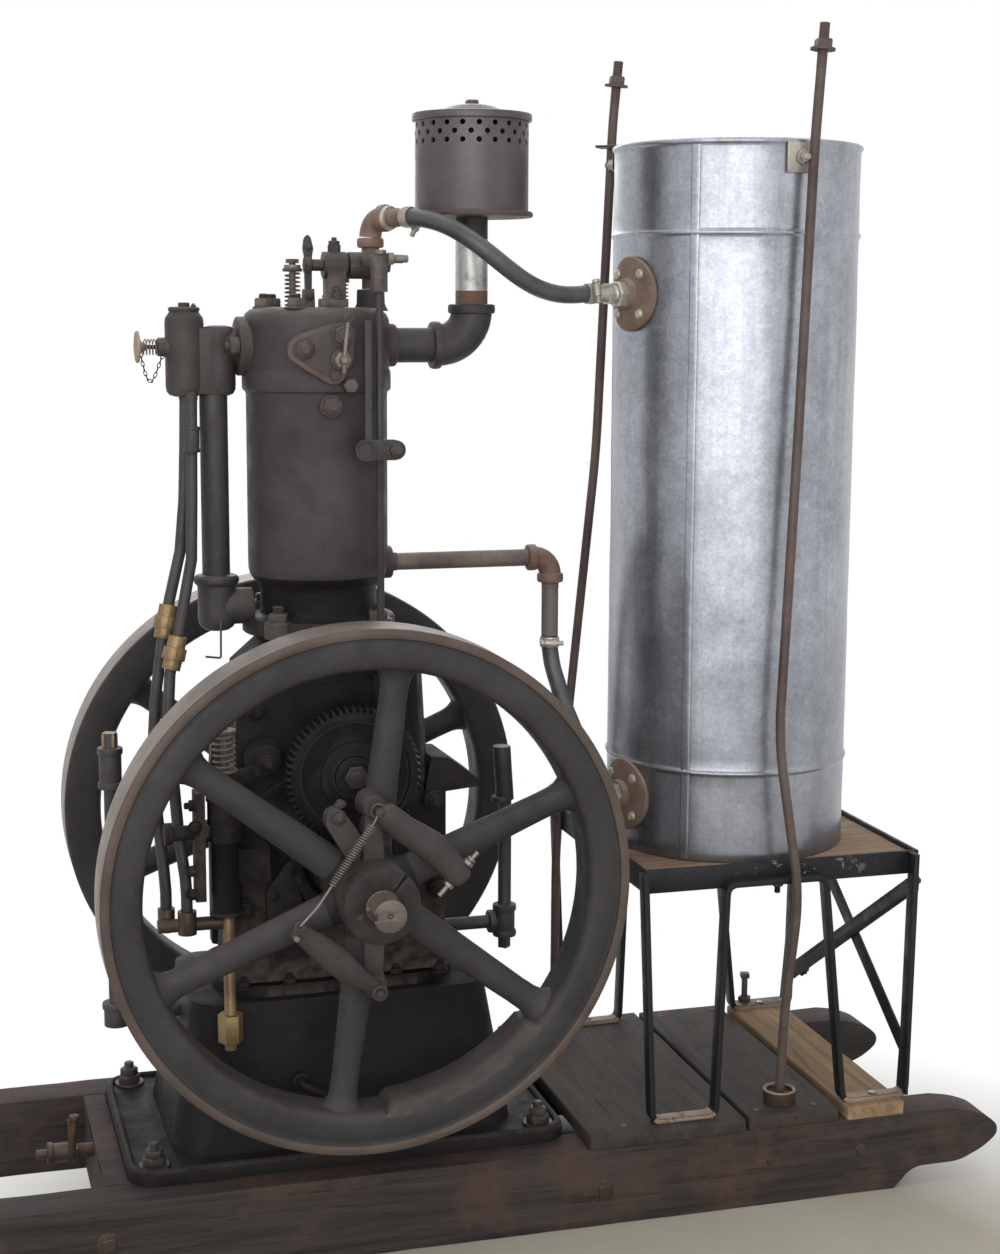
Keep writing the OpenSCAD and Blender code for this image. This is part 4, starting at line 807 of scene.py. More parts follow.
# igniter flange, its nuts and its trip lever
bm = bmesh.new()
# painted highlight: the back plate, whose rim shows round the front plate, is in the lighter lip iron
prism(bm, round_outline([(-56, 602), (-54, 618), (-42, 628), (-2, 641), (14, 641), (24, 628), (20, 600),
    (9, 573), (-6, 570), (-42, 592)], 7, 5), -102, -93.4, 2)
prism(bm, round_outline([(-50, 605), (-48, 616), (-40, 623), (-1, 635), (12, 635), (18, 626), (14, 602),
    (5, 579), (-3, 577), (-39, 597)], 6, 5), -104, -101.5)
bolt(bm, (-37, -104, 611), -Y, 10.5, 8, 0.62, 5, phase=0.25)
bolt(bm, (9, -104, 627), -Y, 12, 9, 0.62, 6, phase=0.5)
turned(bm, [(13, 0), (13, 4), (11, 5)], (7, -104, 599), -Y, 36)
nut(bm, (-1, -104, 581), -Y, 6.4, 5, 6)
nut(bm, (7, -109, 599), -Y, 11, 6, 6, 1)
turned(bm, [(5, 0), (5, 9), (3.8, 10)], (7, -115, 599), -Y, 20, 1)
tube(bm, rounded([(7, -119, 584), (7, -121, 600), (9, -121, 622), (12, -119, 642)], 6), 2.5, 10, 1)
wire_ring(bm, (13, -119, 648), 5, 0.9, 6, 20, 1)
bmesh.ops.translate(bm, verts=bm.verts, vec=Vector((-5, 0, -4)) * MM)
piece("igniter_look", bm, "frame", ["cylinder", "shaft", "lip"], ["igniter"], bevel=0.7, limit=40)

# ---------------------------------------------------------------- mixer, knob, air and fuel
MIX_X, NECK_Z, KNOB_Z = -131.0, 609.0, PORT_Z + 2
bm = bmesh.new()
lathe(bm, [(0, 549.4), (12, 549.6), (18.6, 551.6), (22, 555.6), (23, 562), (23, 636), (22.2, 642),
    (19, 646.6), (17.6, 648.4), (17.6, 650), (18.6, 651), (18.6, 653.4), (16.6, 654.8), (0, 655.4)],
    (MIX_X - 34, 0, 0), Z, 56)
lathe(bm, [(0, 550.2), (12, 550.6), (17, 553), (19.6, 558), (20, 564), (20, 622), (19, 628), (15.6, 632),
    (8, 633.4), (0, 633.4)], (MIX_X + 6, 0, 0), Z, 56)
prism(bm, round_outline([(-165, 553), (-126, 553), (-126, 630), (-165, 630)], 6), -17, 17)
nut(bm, (MIX_X - 34, 0, 655), Z, 7.4, 5, 6)
bolt(bm, (MIX_X - 24, -9, 654.4), Z, 3.4, 3, 0.5, 0.5, False)
turned(bm, [(21, 0), (21, 10), (23, 12.4), (32, 13.4), (34.6, 14.6), (35, 16), (35, 29), (34, 30.4)],
    (-118, 0, NECK_Z), X, 56)
turned(bm, [(30.6, 0), (30.6, 6.4), (29.6, 7.4), (26.6, 7.8), (26.6, 17), (25.6, 18)],
    (-87.6, 0, NECK_Z), X, 48, 1)
for y in (-26, 26):
    nut(bm, (-104.6, y, NECK_Z), -X, 11.4, 11, 6, 0, 0.4)
    turned(bm, [(5.4, 0), (5.4, 5), (4.4, 6)], (-115.6, y, NECK_Z), -X, 20)
turned(bm, [(13, 0), (12, 3), (11.2, 8), (11, 13), (10, 14)], (MIX_X - 52, 0, KNOB_Z), -X, 32)
piece("mixer_casting", bm, "frame", ["iron", "rust"], ["mixer"], bevel=0.8, limit=40)

bm = bmesh.new()
lathe(bm, [(0, -1.4), (7, -1), (13, -0.2), (17, 0.4), (18.6, 1.4), (19, 2.8), (18.4, 4.2), (15, 5),
    (8.6, 5.8), (6.4, 8), (4.6, 12), (0, 12.4)], (MIX_X - 92, 0, KNOB_Z), X, 44)
turned(bm, [(2.6, 0), (2.6, 36)], (MIX_X - 80, 0, KNOB_Z), X, 16, 1)
piece("knob_look", bm, "priming_knob", ["foot", "iron_low"], ["priming_knob"])
bm = bmesh.new()
coil(bm, (-214, 0, KNOB_Z), X, 9.2, 18, 5, 0.7, 6, 0, 18)
spring = piece("knob_spring", bm, None, "shaft")
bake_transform(spring)
bm = bmesh.new()
hang = smooth_path([(-217, -5, 602), (-216.4, -6, 594), (-214.4, -7, 585), (-211.4, -7, 574),
    (-207, -7, 567), (-202.3, -7, 572), (-197, -7, 585), (-192, -6, 597), (-186, -6, 601)], 12)
links, gone = [Vector(hang[0])], 0.0
for a, b in zip(hang, hang[1:]):
    gone += (Vector(b) - Vector(a)).length
    if gone >= 5.2:
        links.append(Vector(b))
        gone = 0.0
for k, (a, b) in enumerate(zip(links, links[1:])):
    axis = (b - a).normalized()
    flat = axis.cross(Y if k % 2 else X).normalized()
    across = axis.cross(flat)
    loop = [(a + b) / 2 + axis * 3.5 * cos(t) + across * 1.7 * sin(t)
        for t in (2 * pi * i / 12 for i in range(13))]
    tube(bm, loop, 0.62, 6, cap=False)
chain = piece("knob_chain", bm, None, "iron_low")
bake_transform(chain)

bm = bmesh.new()
AIR_X = MIX_X - 1
turned(bm, [(16.7, 322), (16.7, 553)], (AIR_X, 0, 0), Z, 40)
lathe(bm, [(0, 268), (14, 269), (20, 273), (22.6, 279), (23, 286), (22.6, 318), (23.2, 323), (26, 325.4),
    (27.4, 328.6), (27, 332.4), (24.6, 335.4), (18, 337), (0, 337)], (AIR_X, 0, 0), Z, 48)
turned(bm, [(21, 0), (22, 12), (22, 43.5)], (AIR_X, 0, 297), X, 40)
piece("air_pipe_casting", bm, "frame", "pipe", ["intake_pipe"], bevel=1.6, segs=3, limit=45)

dress("fuel_pipes", "pipe", bevel=0, sharp=60)
dress("fuel_unions", ["brass", "old_brass"], bevel=0.7, pick=lambda c, n: 1 if -105 < c.z < 150 else 0)
bm = bmesh.new()
turned(bm, [(7.6, 0), (9, 1.4), (9.4, 3), (9.4, 26), (9, 27.6), (7.6, 29)], (-162.4, -26.2, 486),
    Vector((0.03, 0.13, 1)), 28)
for z in (486, 511.5):
    bead(bm, (-162.4 + (z - 486) * 0.03, -26.2 + (z - 486) * 0.13, z + 1.6), Z, 10, 5)
for x, y in ((-166, -4), (-160.5, -18)):
    turned(bm, [(7.4, 546), (7.4, 556)], (x, y, 0), Z, 24)
piece("fuel_coupling", bm, "frame", "pipe", bevel=0)
bm = bmesh.new()
for mid, way in (((-198.35, -36.6, 286.5), (-10.3, -6, -49)),
        ((-191.6, -58.45, 252), (-12.2, -4.5, -50))):
    way = Vector(way).normalized()
    nut(bm, Vector(mid) - way * 6.5, way, 14.8, 15, 6)
    lathe(bm, [(6.5, -19.6), (9.6, -19.6), (10.8, -18), (11.2, -8), (11.2, 10), (10.8, 18), (9.6, 19.6),
        (6.5, 19.6)], mid, way, 28)
piece("union_nuts", bm, "frame", "brass", bevel=0.5, limit=40)

# ---------------------------------------------------------------- fuel pump, follower and crankcase fittings
dress("fuel_pump", "iron_low", bevel=1.4)
dress("crankcase", "iron_low", bevel=2.2, segs=3, limit=24)
dress("engine_base", "iron_low", bevel=3.0, segs=3, limit=24)
PUMP_X, PUMP_Y, CASE_Y = -145.0, -127.0, -105.0
bm = bmesh.new()
turned(bm, [(4.6, 118), (4.6, 172), (3.6, 174)], (PUMP_X, PUMP_Y, 0), Z, 20)
coil(bm, (PUMP_X, PUMP_Y, 125), Z, 12.4, 42, 6, 1.5, 8, 0, 18)
turned(bm, [(15, 121), (15.6, 122.4), (15, 124)], (PUMP_X, PUMP_Y, 0), Z, 32)
turned(bm, [(14, 168), (14.6, 169.4), (14, 171)], (PUMP_X, PUMP_Y, 0), Z, 32)
piece("pump_spring", bm, "frame", "worn_pipe")
bm = bmesh.new()
for z0, r, h in ((86, 22.5, 7), (40, 20.5, 4), (-50, 20, 5)):
    turned(bm, [(r - 1.4, z0), (r, z0 + 1.4), (r, z0 + h - 1.4), (r - 1.4, z0 + h)],
        (PUMP_X, PUMP_Y, 0), Z, 40)
nut(bm, (PUMP_X, PUMP_Y, 93), Z, 17, 9, 6)
turned(bm, [(9, 0), (9, 30), (8, 32)], (-176, PUMP_Y - 4, 52), -X, 24)
turned(bm, [(13, 0), (13, 8), (12, 9)], (-208, PUMP_Y - 4, 52), -X, 28)
for z in (86, 8, -20):
    bolt(bm, (-181, PUMP_Y - 12, z), -X, 7, 6, 0.6, 4, True, 4)
bolt(bm, (-182, PUMP_Y - 12, 60), -Y, 7, 5, 0.55, 3)
# follower: boss, arm and its roller bolt
turned(bm, [(24, 0), (22, 10), (19, 16), (18, 24), (16.4, 26)], (-96, CASE_Y, 131), -Y, 40)
bolt(bm, (-96, CASE_Y - 26, 131), -Y, 10.4, 8, 0.6, 6, phase=0.2)
prism(bm, round_outline([(-138, 106), (-141, 118), (-112, 128), (-94, 142), (-84, 134), (-92, 118),
    (-112, 108)], 6), CASE_Y - 30, CASE_Y - 20)
bolt(bm, (-109, CASE_Y - 30, 119), -Y, 7.4, 5, 0.55, 4)
for x, z in ((-120, 14), (-120, -52), (-104, 186), (64, 190), (112, 66), (116, -46), (-60, -92),
        (60, -100)):
    turned(bm, [(12, 0), (11, 3), (10, 3.6)], (x, CASE_Y, z), -Y, 28)
    bolt(bm, (x, CASE_Y - 3, z), -Y, 9.4, 7, 0.62, 4, False, phase=x * 0.1)
# cover with its own bolts, under the gear
prism(bm, round_outline([(-92, -122), (-96, -30), (-66, 8), (-56, -30), (-40, -112)], 10), CASE_Y - 9,
    CASE_Y - 0.5)
for x, z in ((-84, -108), (-88, -36), (-68, -8), (-54, -100)):
    bolt(bm, (x, CASE_Y - 9, z), -Y, 6.4, 4.6, 0.6, 2, False)
# skirt rib round the main bearing
for k in range(3):
    t = radians(200 + 70 * k)
    bolt(bm, (60 * cos(t), CASE_Y, 60 * sin(t)), -Y, 8, 6, 0.6, 3)
ring(bm, [(50, 0), (66, 0), (66, 5), (64, 7), (52, 7), (50, 5)], (0, CASE_Y, 0), -Y, 64)
# plug and short handle low on the tub
turned(bm, [(10, 0), (10, 8), (8, 10)], (-60, -128, -262), -Y, 24)
tube(bm, rounded([(-60, -136, -262), (-60, -148, -262), (-34, -150, -276)], 8), 4.2, 14)
# bolts through the flange between tub and case
for x in (-122, -66, 0, 66, 122):
    for s in (-1, 1):
        bolt(bm, (x, s * 94, -153.6), Z, 8.4, 7, 0.6, 4, phase=x)
piece("case_fittings", bm, "frame", "iron_low", bevel=0.5, limit=45)

# raised lip round the bed, and the bed's bolts
BED_TOP = -348.0
bm = bmesh.new()
HX, HY, CORNER = 263.0, 158.0, 30.0
loop = []
for turn, (sx, sy) in enumerate(((1, 1), (-1, 1), (-1, -1), (1, -1))):
    middle = Vector((sx * (HX - CORNER), sy * (HY - CORNER), BED_TOP))
    loop += [middle + heading(90 * turn + 15 * k) * CORNER for k in range(7)]
tube(bm, loop + loop[:1], 5.2, 12, 0, (1, 0.9), flat=Z, cap=False)
piece("bed_lip", bm, "frame", "iron_low")
bm = bmesh.new()
for sx in (-1, 1):
    for sy in (-1, 1):
        c = Vector((sx * 237, sy * 136, BED_TOP))
        turned(bm, [(6.4, -84), (6.4, 6)], c, Z, 20)
        turned(bm, [(19, 0), (19, 2.4), (18, 3.2)], c, Z, 36)
        nut(bm, c + Z * 3.2, Z, 14.4, 10, 6, 0, 0.3 * sx)
        bolt(bm, c + Z * 13, Z, 11.6, 9, 0.56, 7, False, 6, 0, 0.5 * sy)
piece("bed_bolts", bm, "frame", "bolt", ["base_bolts"], bevel=0.6, limit=45)

# ---------------------------------------------------------------- valve gear
dress("rocker_bracket", "iron", bevel=1.4, segs=3)
dress("rocker_arm", "iron", "rocker", 2.2, segs=3)
dress("push_rod", "pipe", "push_rod", 0.8)
dress("exhaust_valve", "bright", "exhaust_valve", 0.4)
dress("intake_valve", "bright", "intake_valve", 0.5)
for name, valve, x, y, r, top, turns in (("intake_spring", "intake_valve", -35, 0, 9, 696.2, 8),
        ("exhaust_spring", "exhaust_valve", 33, 45, 9, 683.6, 6)):
    bm = bmesh.new()
    coil(bm, (x, y, 656.6), Z, r, top - 656.6, turns, 0.9, 8, 0, 20)
    spring = piece(name, bm, None, "shaft", ["valve_springs"])
    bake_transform(spring)
bm = bmesh.new()
# relief lever, a flat bar with a pointed head
prism(bm, round_outline([(-20, 676), (-12, 676), (-11.4, 716), (-9.6, 724), (-13, 738), (-17, 741),
    (-21, 736), (-22.4, 724), (-20.6, 716)], 2.4), -3, 3)
bolt(bm, (-16, -3, 726), -Y, 4.4, 3, 0.5, 2, False)
bolt(bm, (-16, -8, 668), -Y, 5.4, 4, 0.5, 3, False)
# cap, oil hole and side bolts of the rocker bracket
bolt(bm, (16, 0, 729), Z, 7, 5, 0.5, 3, False, 4)
ring(bm, [(3, 0), (5.4, 0), (5.4, 1.4), (3, 1.4)], (15, -15, 676), -Y, 24)
for y in (-19, 19):
    bolt(bm, (16, y, 665), Z, 6.6, 5, 0.55, 3)
nut(bm, (-13, 0, 705), -X, 11, 8, 6)
turned(bm, [(10, 0), (10, 5), (9, 6)], (72, 0, 705), X, 28)
nut(bm, (78, 0, 705), X, 9, 6, 6)
piece("rocker_fittings", bm, "frame", "iron", bevel=0.5, limit=40)
bm = bmesh.new()
nut(bm, (-35, 0, 707), Z, 8.4, 5, 6)
turned(bm, [(11, 697), (12, 698.4), (12, 700), (10, 701.6)], (-35, 0, 0), Z, 28)
piece("intake_valve_nut", bm, "intake_valve", "iron")
bm = bmesh.new()
bolt(bm, (58, -101, 711), X, 8, 7, 0.6, 16, False)
nut(bm, (50, -101, 716), Z, 6.6, 5, 4)
piece("rocker_tappet", bm, "rocker", "bright", bevel=0.4, limit=40)
bm = bmesh.new()
bolt(bm, (66, -107, 490), -Y, 9.4, 8, 0.62, 4)
ring(bm, [(9.6, 0), (13, 0), (13, 1.6), (9.6, 1.6)], (30, -107.2, 490), -Y, 28)
piece("trip_bolt", bm, "push_rod", "iron", bevel=0.5, limit=40)

# ---------------------------------------------------------------- exhaust and muffler
EXH_X, EXH_Z, EXH_BEND, MUFF_Z, MUFF_H, MUFF_R = 187.0, 610.0, 42.0, 764.0, 120.0, 69.0
bm = bmesh.new()
turned(bm, [(21, 0), (21, 64)], (90.4, 0, EXH_Z), X, 44)
elbow(bm, (EXH_X - EXH_BEND, 0, EXH_Z), X, Z, EXH_BEND, 25.2, 40, 12, Y)
bead(bm, (EXH_X - EXH_BEND - 4, 0, EXH_Z), X, 29, 12)
bead(bm, (EXH_X, 0, EXH_Z + 44), Z, 29, 12)
piece("exhaust_elbow", bm, "frame", "pipe", ["exhaust_pipe"], bevel=0)
bm = bmesh.new()
turned(bm, [(19.6, EXH_Z + 40), (19.8, EXH_Z + 66), (19.8, MUFF_Z - 26), (19.8, MUFF_Z - 0.4)],
    (EXH_X, 0, 0), Z, 44)
for f in bm.faces:
    z = f.calc_center_median().z / MM - CRANK.z
    f.material_index = 1 if z < EXH_Z + 60 else (2 if z > MUFF_Z - 24 else 0)
thread(bm, (EXH_X, 0, EXH_Z + 49), Z, 20.2, 16, 1, 2.0, 40)
piece("exhaust_riser", bm, "frame", ["galv_pipe", "rust", "pipe"])

bm = bmesh.new()
HOLES, HOLE_R, ROW, MUFF_WALL = 22, 3.3, 10.0, 2.6


def can(bm, r, inside):
    """The muffler's wall with its three staggered rows of holes."""
    cell = 2 * pi / HOLES

    def pt(a, z, rr=r):
        return vert(bm, (EXH_X + rr * cos(a), rr * sin(a), MUFF_Z + z))

    top_row = MUFF_H - 12
    for lo, hi in ((0.5, top_row - 2.5 * ROW), (top_row + ROW / 2, MUFF_H - 0.5)):
        n, m = HOLES * 8, 1 if hi - lo < 20 else 4
        rows = [[pt(2 * pi * k / n, lo + (hi - lo) * i / m) for k in range(n)] for i in range(m + 1)]
        skin(bm, rows)
    for row in range(3):
        zc = top_row - ROW * row
        for i in range(HOLES):
            ac = cell * (i + 0.5 * (row % 2))
            edge = [(-4 + k, -1) for k in range(8)] + [(4, -1 + k * 0.5) for k in range(4)] + [(4 - k, 1)
                for k in range(8)] + [(-4, 1 - k * 0.5) for k in range(4)]
            outer = [pt(ac + cell * u / 8, zc + ROW / 2 * v) for u, v in edge]
            hole = []
            for u, v in edge:
                ang = atan2(v * ROW / 2, u / 8 * cell * r)
                hole.append((HOLE_R * cos(ang) / r, HOLE_R * sin(ang)))
            inner = [pt(ac + da, zc + dz) for da, dz in hole]
            deep = [] if inside else [[pt(ac + da, zc + dz, r - MUFF_WALL) for da, dz in hole]]
            skin(bm, [outer, inner] + deep)


can(bm, MUFF_R, False)
can(bm, MUFF_R - MUFF_WALL, True)
bmesh.ops.remove_doubles(bm, verts=bm.verts, dist=2e-6)
turned(bm, [(66, 3), (70.4, 7), (73.2, 6.8), (74.6, 5), (74.8, 2.4), (74, 0.6), (71, 0), (24, 0)],
    (EXH_X, 0, MUFF_Z), Z, 96, 1)
turned(bm, [(50, 8), (50, 100), (46, 104)], (EXH_X, 0, MUFF_Z), Z, 64, 2)
piece("muffler_can", bm, "frame", ["muffler", "lip", "iron_low"], ["muffler_body"], sharp=40)
bm = bmesh.new()
lathe(bm, [(MUFF_R + 0.4, -6), (MUFF_R + 2.6, -6.4), (MUFF_R + 3.8, -5.6), (MUFF_R + 4, -4),
    (MUFF_R + 4, 0.6), (MUFF_R + 3.2, 2.4), (MUFF_R + 1, 3), (60, 3.4), (42, 4.4), (36, 7.6), (30, 10.8),
    (22, 13), (12, 14.2), (0, 14.4)], (EXH_X, 0, MUFF_Z + MUFF_H), Z, 96)
nut(bm, (EXH_X, 0, MUFF_Z + MUFF_H + 13.4), Z, 8.4, 6, 6)
piece("muffler_cap", bm, "frame", "muffler", ["muffler_lid"], sharp=36)

# ---------------------------------------------------------------- water pipes and their fittings
WATER_R, WATER_BEND, HOSE_TOP, INLET_X, INLET_Z = 10.65, 22.0, 762.0, 291.0, 345.0
bm = bmesh.new()
ax = heading(-61)
foot = Vector((68, 33, 0))
mouth = foot + Z * HOSE_TOP
turned(bm, [(WATER_R, 677.4), (WATER_R, 730)], foot, Z, 28)
thread(bm, foot + Z * 721, Z, WATER_R + 0.6, 7, 0, 1.8, 28)
bead(bm, foot + Z * 733, Z, 16.4, 12)
elbow(bm, mouth - Z * WATER_BEND, Z, ax, WATER_BEND, 13.6, flat=ax.cross(Z))
bead(bm, mouth + ax * 26, ax, 16.4, 11)
turned(bm, [(WATER_R, 30), (WATER_R, 60)], mouth, ax, 28)
turned(bm, [(WATER_R + 3.2, 29), (WATER_R + 4, 30.4), (WATER_R + 4, 36), (WATER_R + 3, 37.6)],
    mouth, ax, 28, 1)
thread(bm, mouth + ax * 42, ax, WATER_R + 0.8, 9, 0, 1.8, 28)
piece("outlet_elbow", bm, "frame", ["rust", "zinc"], ["water_pipes"], bevel=0)
bm = bmesh.new()
turned(bm, [(WATER_R, 0), (WATER_R, 176)], (91, 0, INLET_Z), X, 28, 1)
thread(bm, (84.4, 0, INLET_Z), X, WATER_R + 0.8, 9, 1, 1.8, 28)
bead(bm, (INLET_X - 25, 0, INLET_Z), X, 16.6, 12)
elbow(bm, (INLET_X - WATER_BEND, 0, INLET_Z), X, -Z, WATER_BEND, 13.7, flat=Y)
bead(bm, (INLET_X, 0, INLET_Z - 26), Z, 16.6, 12)
turned(bm, [(WATER_R, 245), (WATER_R, 316)], (INLET_X, 0, 0), Z, 28, 1)
thread(bm, (INLET_X, 0, 305), Z, WATER_R + 0.6, 8, 1, 1.8, 28)
piece("inlet_pipe", bm, "frame", ["rust", "worn_pipe"], bevel=0)

TANK_X, TANK_R, FLANGE_DEG, FLANGE_HI, FLANGE_LO = 534.0, 154.5, 193.5, 673.0, 41.0
bm = bmesh.new()
fx, fy = heading(FLANGE_DEG), heading(FLANGE_DEG + 90)


def on_tank(c, u, v, lift):
    """The point u across and v up from a flange's middle, a little off the tank's side."""
    return c + fx * (sqrt(TANK_R**2 - u * u) + lift) + fy * u + Z * v


for z in (FLANGE_HI, FLANGE_LO):
    c = Vector((TANK_X, 0, z))
    # the flange is dished to the tank's side
    rows = []
    for r, lift in ((8, 9.4), (17, 9.4), (20, 8.6), (34, 8.2), (42, 7.8), (45.4, 6.2),
            (46, 3.5), (45, 0.6)):
        circle = [(r * cos(t), r * sin(t)) for t in around(56)]
        rows.append([vert(bm, on_tank(c, u, v, lift)) for u, v in circle])
    skin(bm, rows)
    lathe(bm, [(0, 4), (20, 6), (19, 11), (18, 15.4), (17, 16), (0, 16)], c + fx * TANK_R, fx, 36)
    nut(bm, c + fx * (TANK_R + 14), fx, 17, 13, 6, 2)
    for a in (45, 135, 225, 315):
        p = on_tank(c, 34 * cos(radians(a)), 34 * sin(radians(a)), 7.6)
        lathe(bm, [(0, 0), (6.6, 0), (6.2, 2), (4.4, 3.6), (0, 4.2)], p, fx, 20, 2)
    if z > 100:
        turned(bm, [(WATER_R, 26), (WATER_R, 54)], c + fx * TANK_R, fx, 28, 2)
        thread(bm, c + fx * (TANK_R + 27), fx, WATER_R + 0.8, 6, 2, 1.8, 28)
        nut(bm, c + fx * (TANK_R + 33), fx, 14.4, 7, 6, 2)
    else:
        turned(bm, [(WATER_R, 26), (WATER_R, 46)], c + fx * TANK_R, fx, 28)
        bead(bm, c + fx * (TANK_R + 42), fx, 16.4, 10)
        elbow(bm, c + fx * (TANK_R + 45.5), fx, Z, WATER_BEND, 13.6, flat=fy)
        bead(bm, c + fx * (TANK_R + 67.5) + Z * 26, Z, 16.4, 10)
        turned(bm, [(WATER_R, 29), (WATER_R, 38.6)], c + fx * (TANK_R + 67.5), Z, 28)
piece("flanges_look", bm, "frame", ["rust", "worn_pipe", "zinc"], ["tank_flanges"], bevel=0)

# hose clamps: a slotted band with its screw housing
bm = bmesh.new()


def clamp(p, d, turn):
    """A worm clamp at p along d, with its screw turned round the hose."""
    d, p = Vector(d).normalized(), Vector(p)
    r = HOSE_D / 2 + 0.4
    ring(bm, [(r, -6.4), (r + 1.3, -6.4), (r + 1.3, 6.4), (r, 6.4)], p, d, 40)
    _, u, v = frame_of(d)
    for k in range(26):
        t = turn + radians(26 + k * 12)
        outward = u * cos(t) + v * sin(t)
        tangent = d.cross(outward)
        c = p + outward * (r + 1.3)
        tube(bm, [c - d * 3.4 - tangent * 0.5, c + d * 3.4 + tangent * 0.5], 0.5, 6)
    outward = u * cos(turn) + v * sin(turn)
    tangent = d.cross(outward)
    c = p + outward * (r + 5.2)
    turned(bm, [(5, -7.5), (5, 7.5)], c, tangent, 16)
    turned(bm, [(3, 7.5), (3, 9)], c, tangent, 16)
    nut(bm, c + tangent * 9, tangent, 5, 4.4, 6)
    thread(bm, c - tangent * 16, tangent, 3.2, 10, 0, 1.5, 14)


for route, turns in ((UPPER, (2.6, 3.4)), (LOWER, (0.2, 2.0))):
    for (a, b), turn in zip(((route[0], route[1]), (route[-1], route[-2])), turns):
        d = (Vector(b) - Vector(a)).normalized()
        clamp(Vector(a) + d * 8, d, turn)
piece("worm_clamps", bm, "frame", "zinc", ["hose_clamps"], bevel=0.3, limit=50)

# ---------------------------------------------------------------- tank
TANK_FOOT, TANK_H = -30.0, 888.0
bm = bmesh.new()
TANK_SIDES, TANK_WALL = 144, 2.4
LOW_BEAD, HIGH_BEAD, RIM_BEAD = 114.0, TANK_H - 112, TANK_H - 5
outer = [(TANK_R - TANK_WALL, 0), (TANK_R - 0.6, 0.4), (TANK_R, 2)]
z = 12.0
for at_z in (LOW_BEAD, HIGH_BEAD, RIM_BEAD):
    while z < at_z - 9:
        outer.append((TANK_R, z))
        z += 16
    size = 3.4 if at_z < RIM_BEAD else 3.6
    outer += [(TANK_R, at_z - 6), (TANK_R + 0.4, at_z - 4.2)]
    for deg in range(-50, 51, 20):
        t = radians(deg)
        outer.append((TANK_R - 1 + size * cos(t), at_z + size * sin(t)))
    if at_z < RIM_BEAD:
        outer += [(TANK_R + 0.4, at_z + 4.2), (TANK_R, at_z + 6)]
        z = at_z + 18
outer += [(TANK_R - 1, TANK_H - 1.2), (TANK_R - 3.4, TANK_H - 1.6), (TANK_R - 4, TANK_H - 4),
    (TANK_R - 2.6, TANK_H - 8)]
inner = [(TANK_R - TANK_WALL, TANK_H - 30 - 40 * k) for k in range(21)] + [(TANK_R - TANK_WALL, 12)]
SEAM_DEG = 229.3
SEAM = radians(SEAM_DEG)
wall_rows = []
for r, h in outer + inner:
    row = []
    for t in around(TANK_SIDES):
        p = Vector((TANK_X + r * cos(t), r * sin(t), TANK_FOOT + h))
        q = Vector((cos(t) * 2.0, sin(t) * 2.0, h * 0.006))
        dent = noise.noise(q * 1.3) * 0.8 + noise.noise(q * 3.1 + Vector((7, 0, 0))) * 0.45
        hold = min(1.0, min(abs(h - b) for b in (0, LOW_BEAD, HIGH_BEAD, RIM_BEAD)) / 40)
        ridge = 2.4 * exp(-abs(remainder(t - SEAM, 2 * pi)) / 0.13)
        row.append(vert(bm, p + Vector((cos(t), sin(t), 0)) * (dent * hold - 0.4 * hold + ridge)))
    wall_rows.append(row)
skin(bm, wall_rows + wall_rows[:1])
# lapped seam down the side, with solder
seam_dir, seam_side = heading(SEAM_DEG), heading(SEAM_DEG + 90)
fold = [(-6.6, 0.2), (-5.6, 2.9), (-4.2, 3.5), (0, 2.6), (4, 3.5), (5.2, 2.9), (6.2, 0.2)]
cols = []
for h in range(0, int(TANK_H), 12):
    wob = noise.noise(Vector((0, 0, h * 0.02))) * 0.5
    cols.append([vert(bm, Vector((TANK_X, 0, TANK_FOOT + 3 + h)) + seam_dir * (TANK_R + lift)
        + seam_side * (w + wob)) for w, lift in fold])
skin(bm, cols, wrap=False)
bm.faces.new(cols[-1])
piece("tank_sheet", bm, "frame", "tank", ["tank_shell"], sharp=60)
dress("tank_bottom", "tank", bevel=0)
bm = bmesh.new()
NEAR_CLIP, FAR_CLIP = heading(276.5), heading(143)
near_plate = ((3.2, -42), (4.6, -42), (4.6, -6), (3.2, -6))
far_hook = ((3.2, -26), (6.4, -26), (6.4, 1.4), (30, 1.4), (30, 4.6), (-9, 4.6), (-9, 1.4), (3.2, 1.4))
RIM = Vector((TANK_X, 0, TANK_FOOT + TANK_H))
for out, half, spots, mat in ((NEAR_CLIP, 20, near_plate, 0), (FAR_CLIP, 13, far_hook, 1)):
    along = Vector((-out.y, out.x, 0))
    cols = []
    for w in (-half, -half / 2, 0, half / 2, half):
        drop = TANK_R - sqrt(TANK_R**2 - w * w)
        cols.append([vert(bm, RIM + Z * z + out * (TANK_R + r - drop) + along * w) for r, z in spots])
    skin(bm, cols, mat, cap=True)
piece("bracket_plates", bm, "frame", ["zinc", "stand"], ["tank_brackets"], bevel=0.5, limit=40)
bm = bmesh.new()
for out, z, gap in ((NEAR_CLIP, -24, 6.4), (FAR_CLIP, -20, 7.4)):
    bolt(bm, RIM + Z * z + out * (TANK_R + gap), out, 7.4, 5, 0.55, 4)
piece("bracket_bolts", bm, "frame", "zinc")

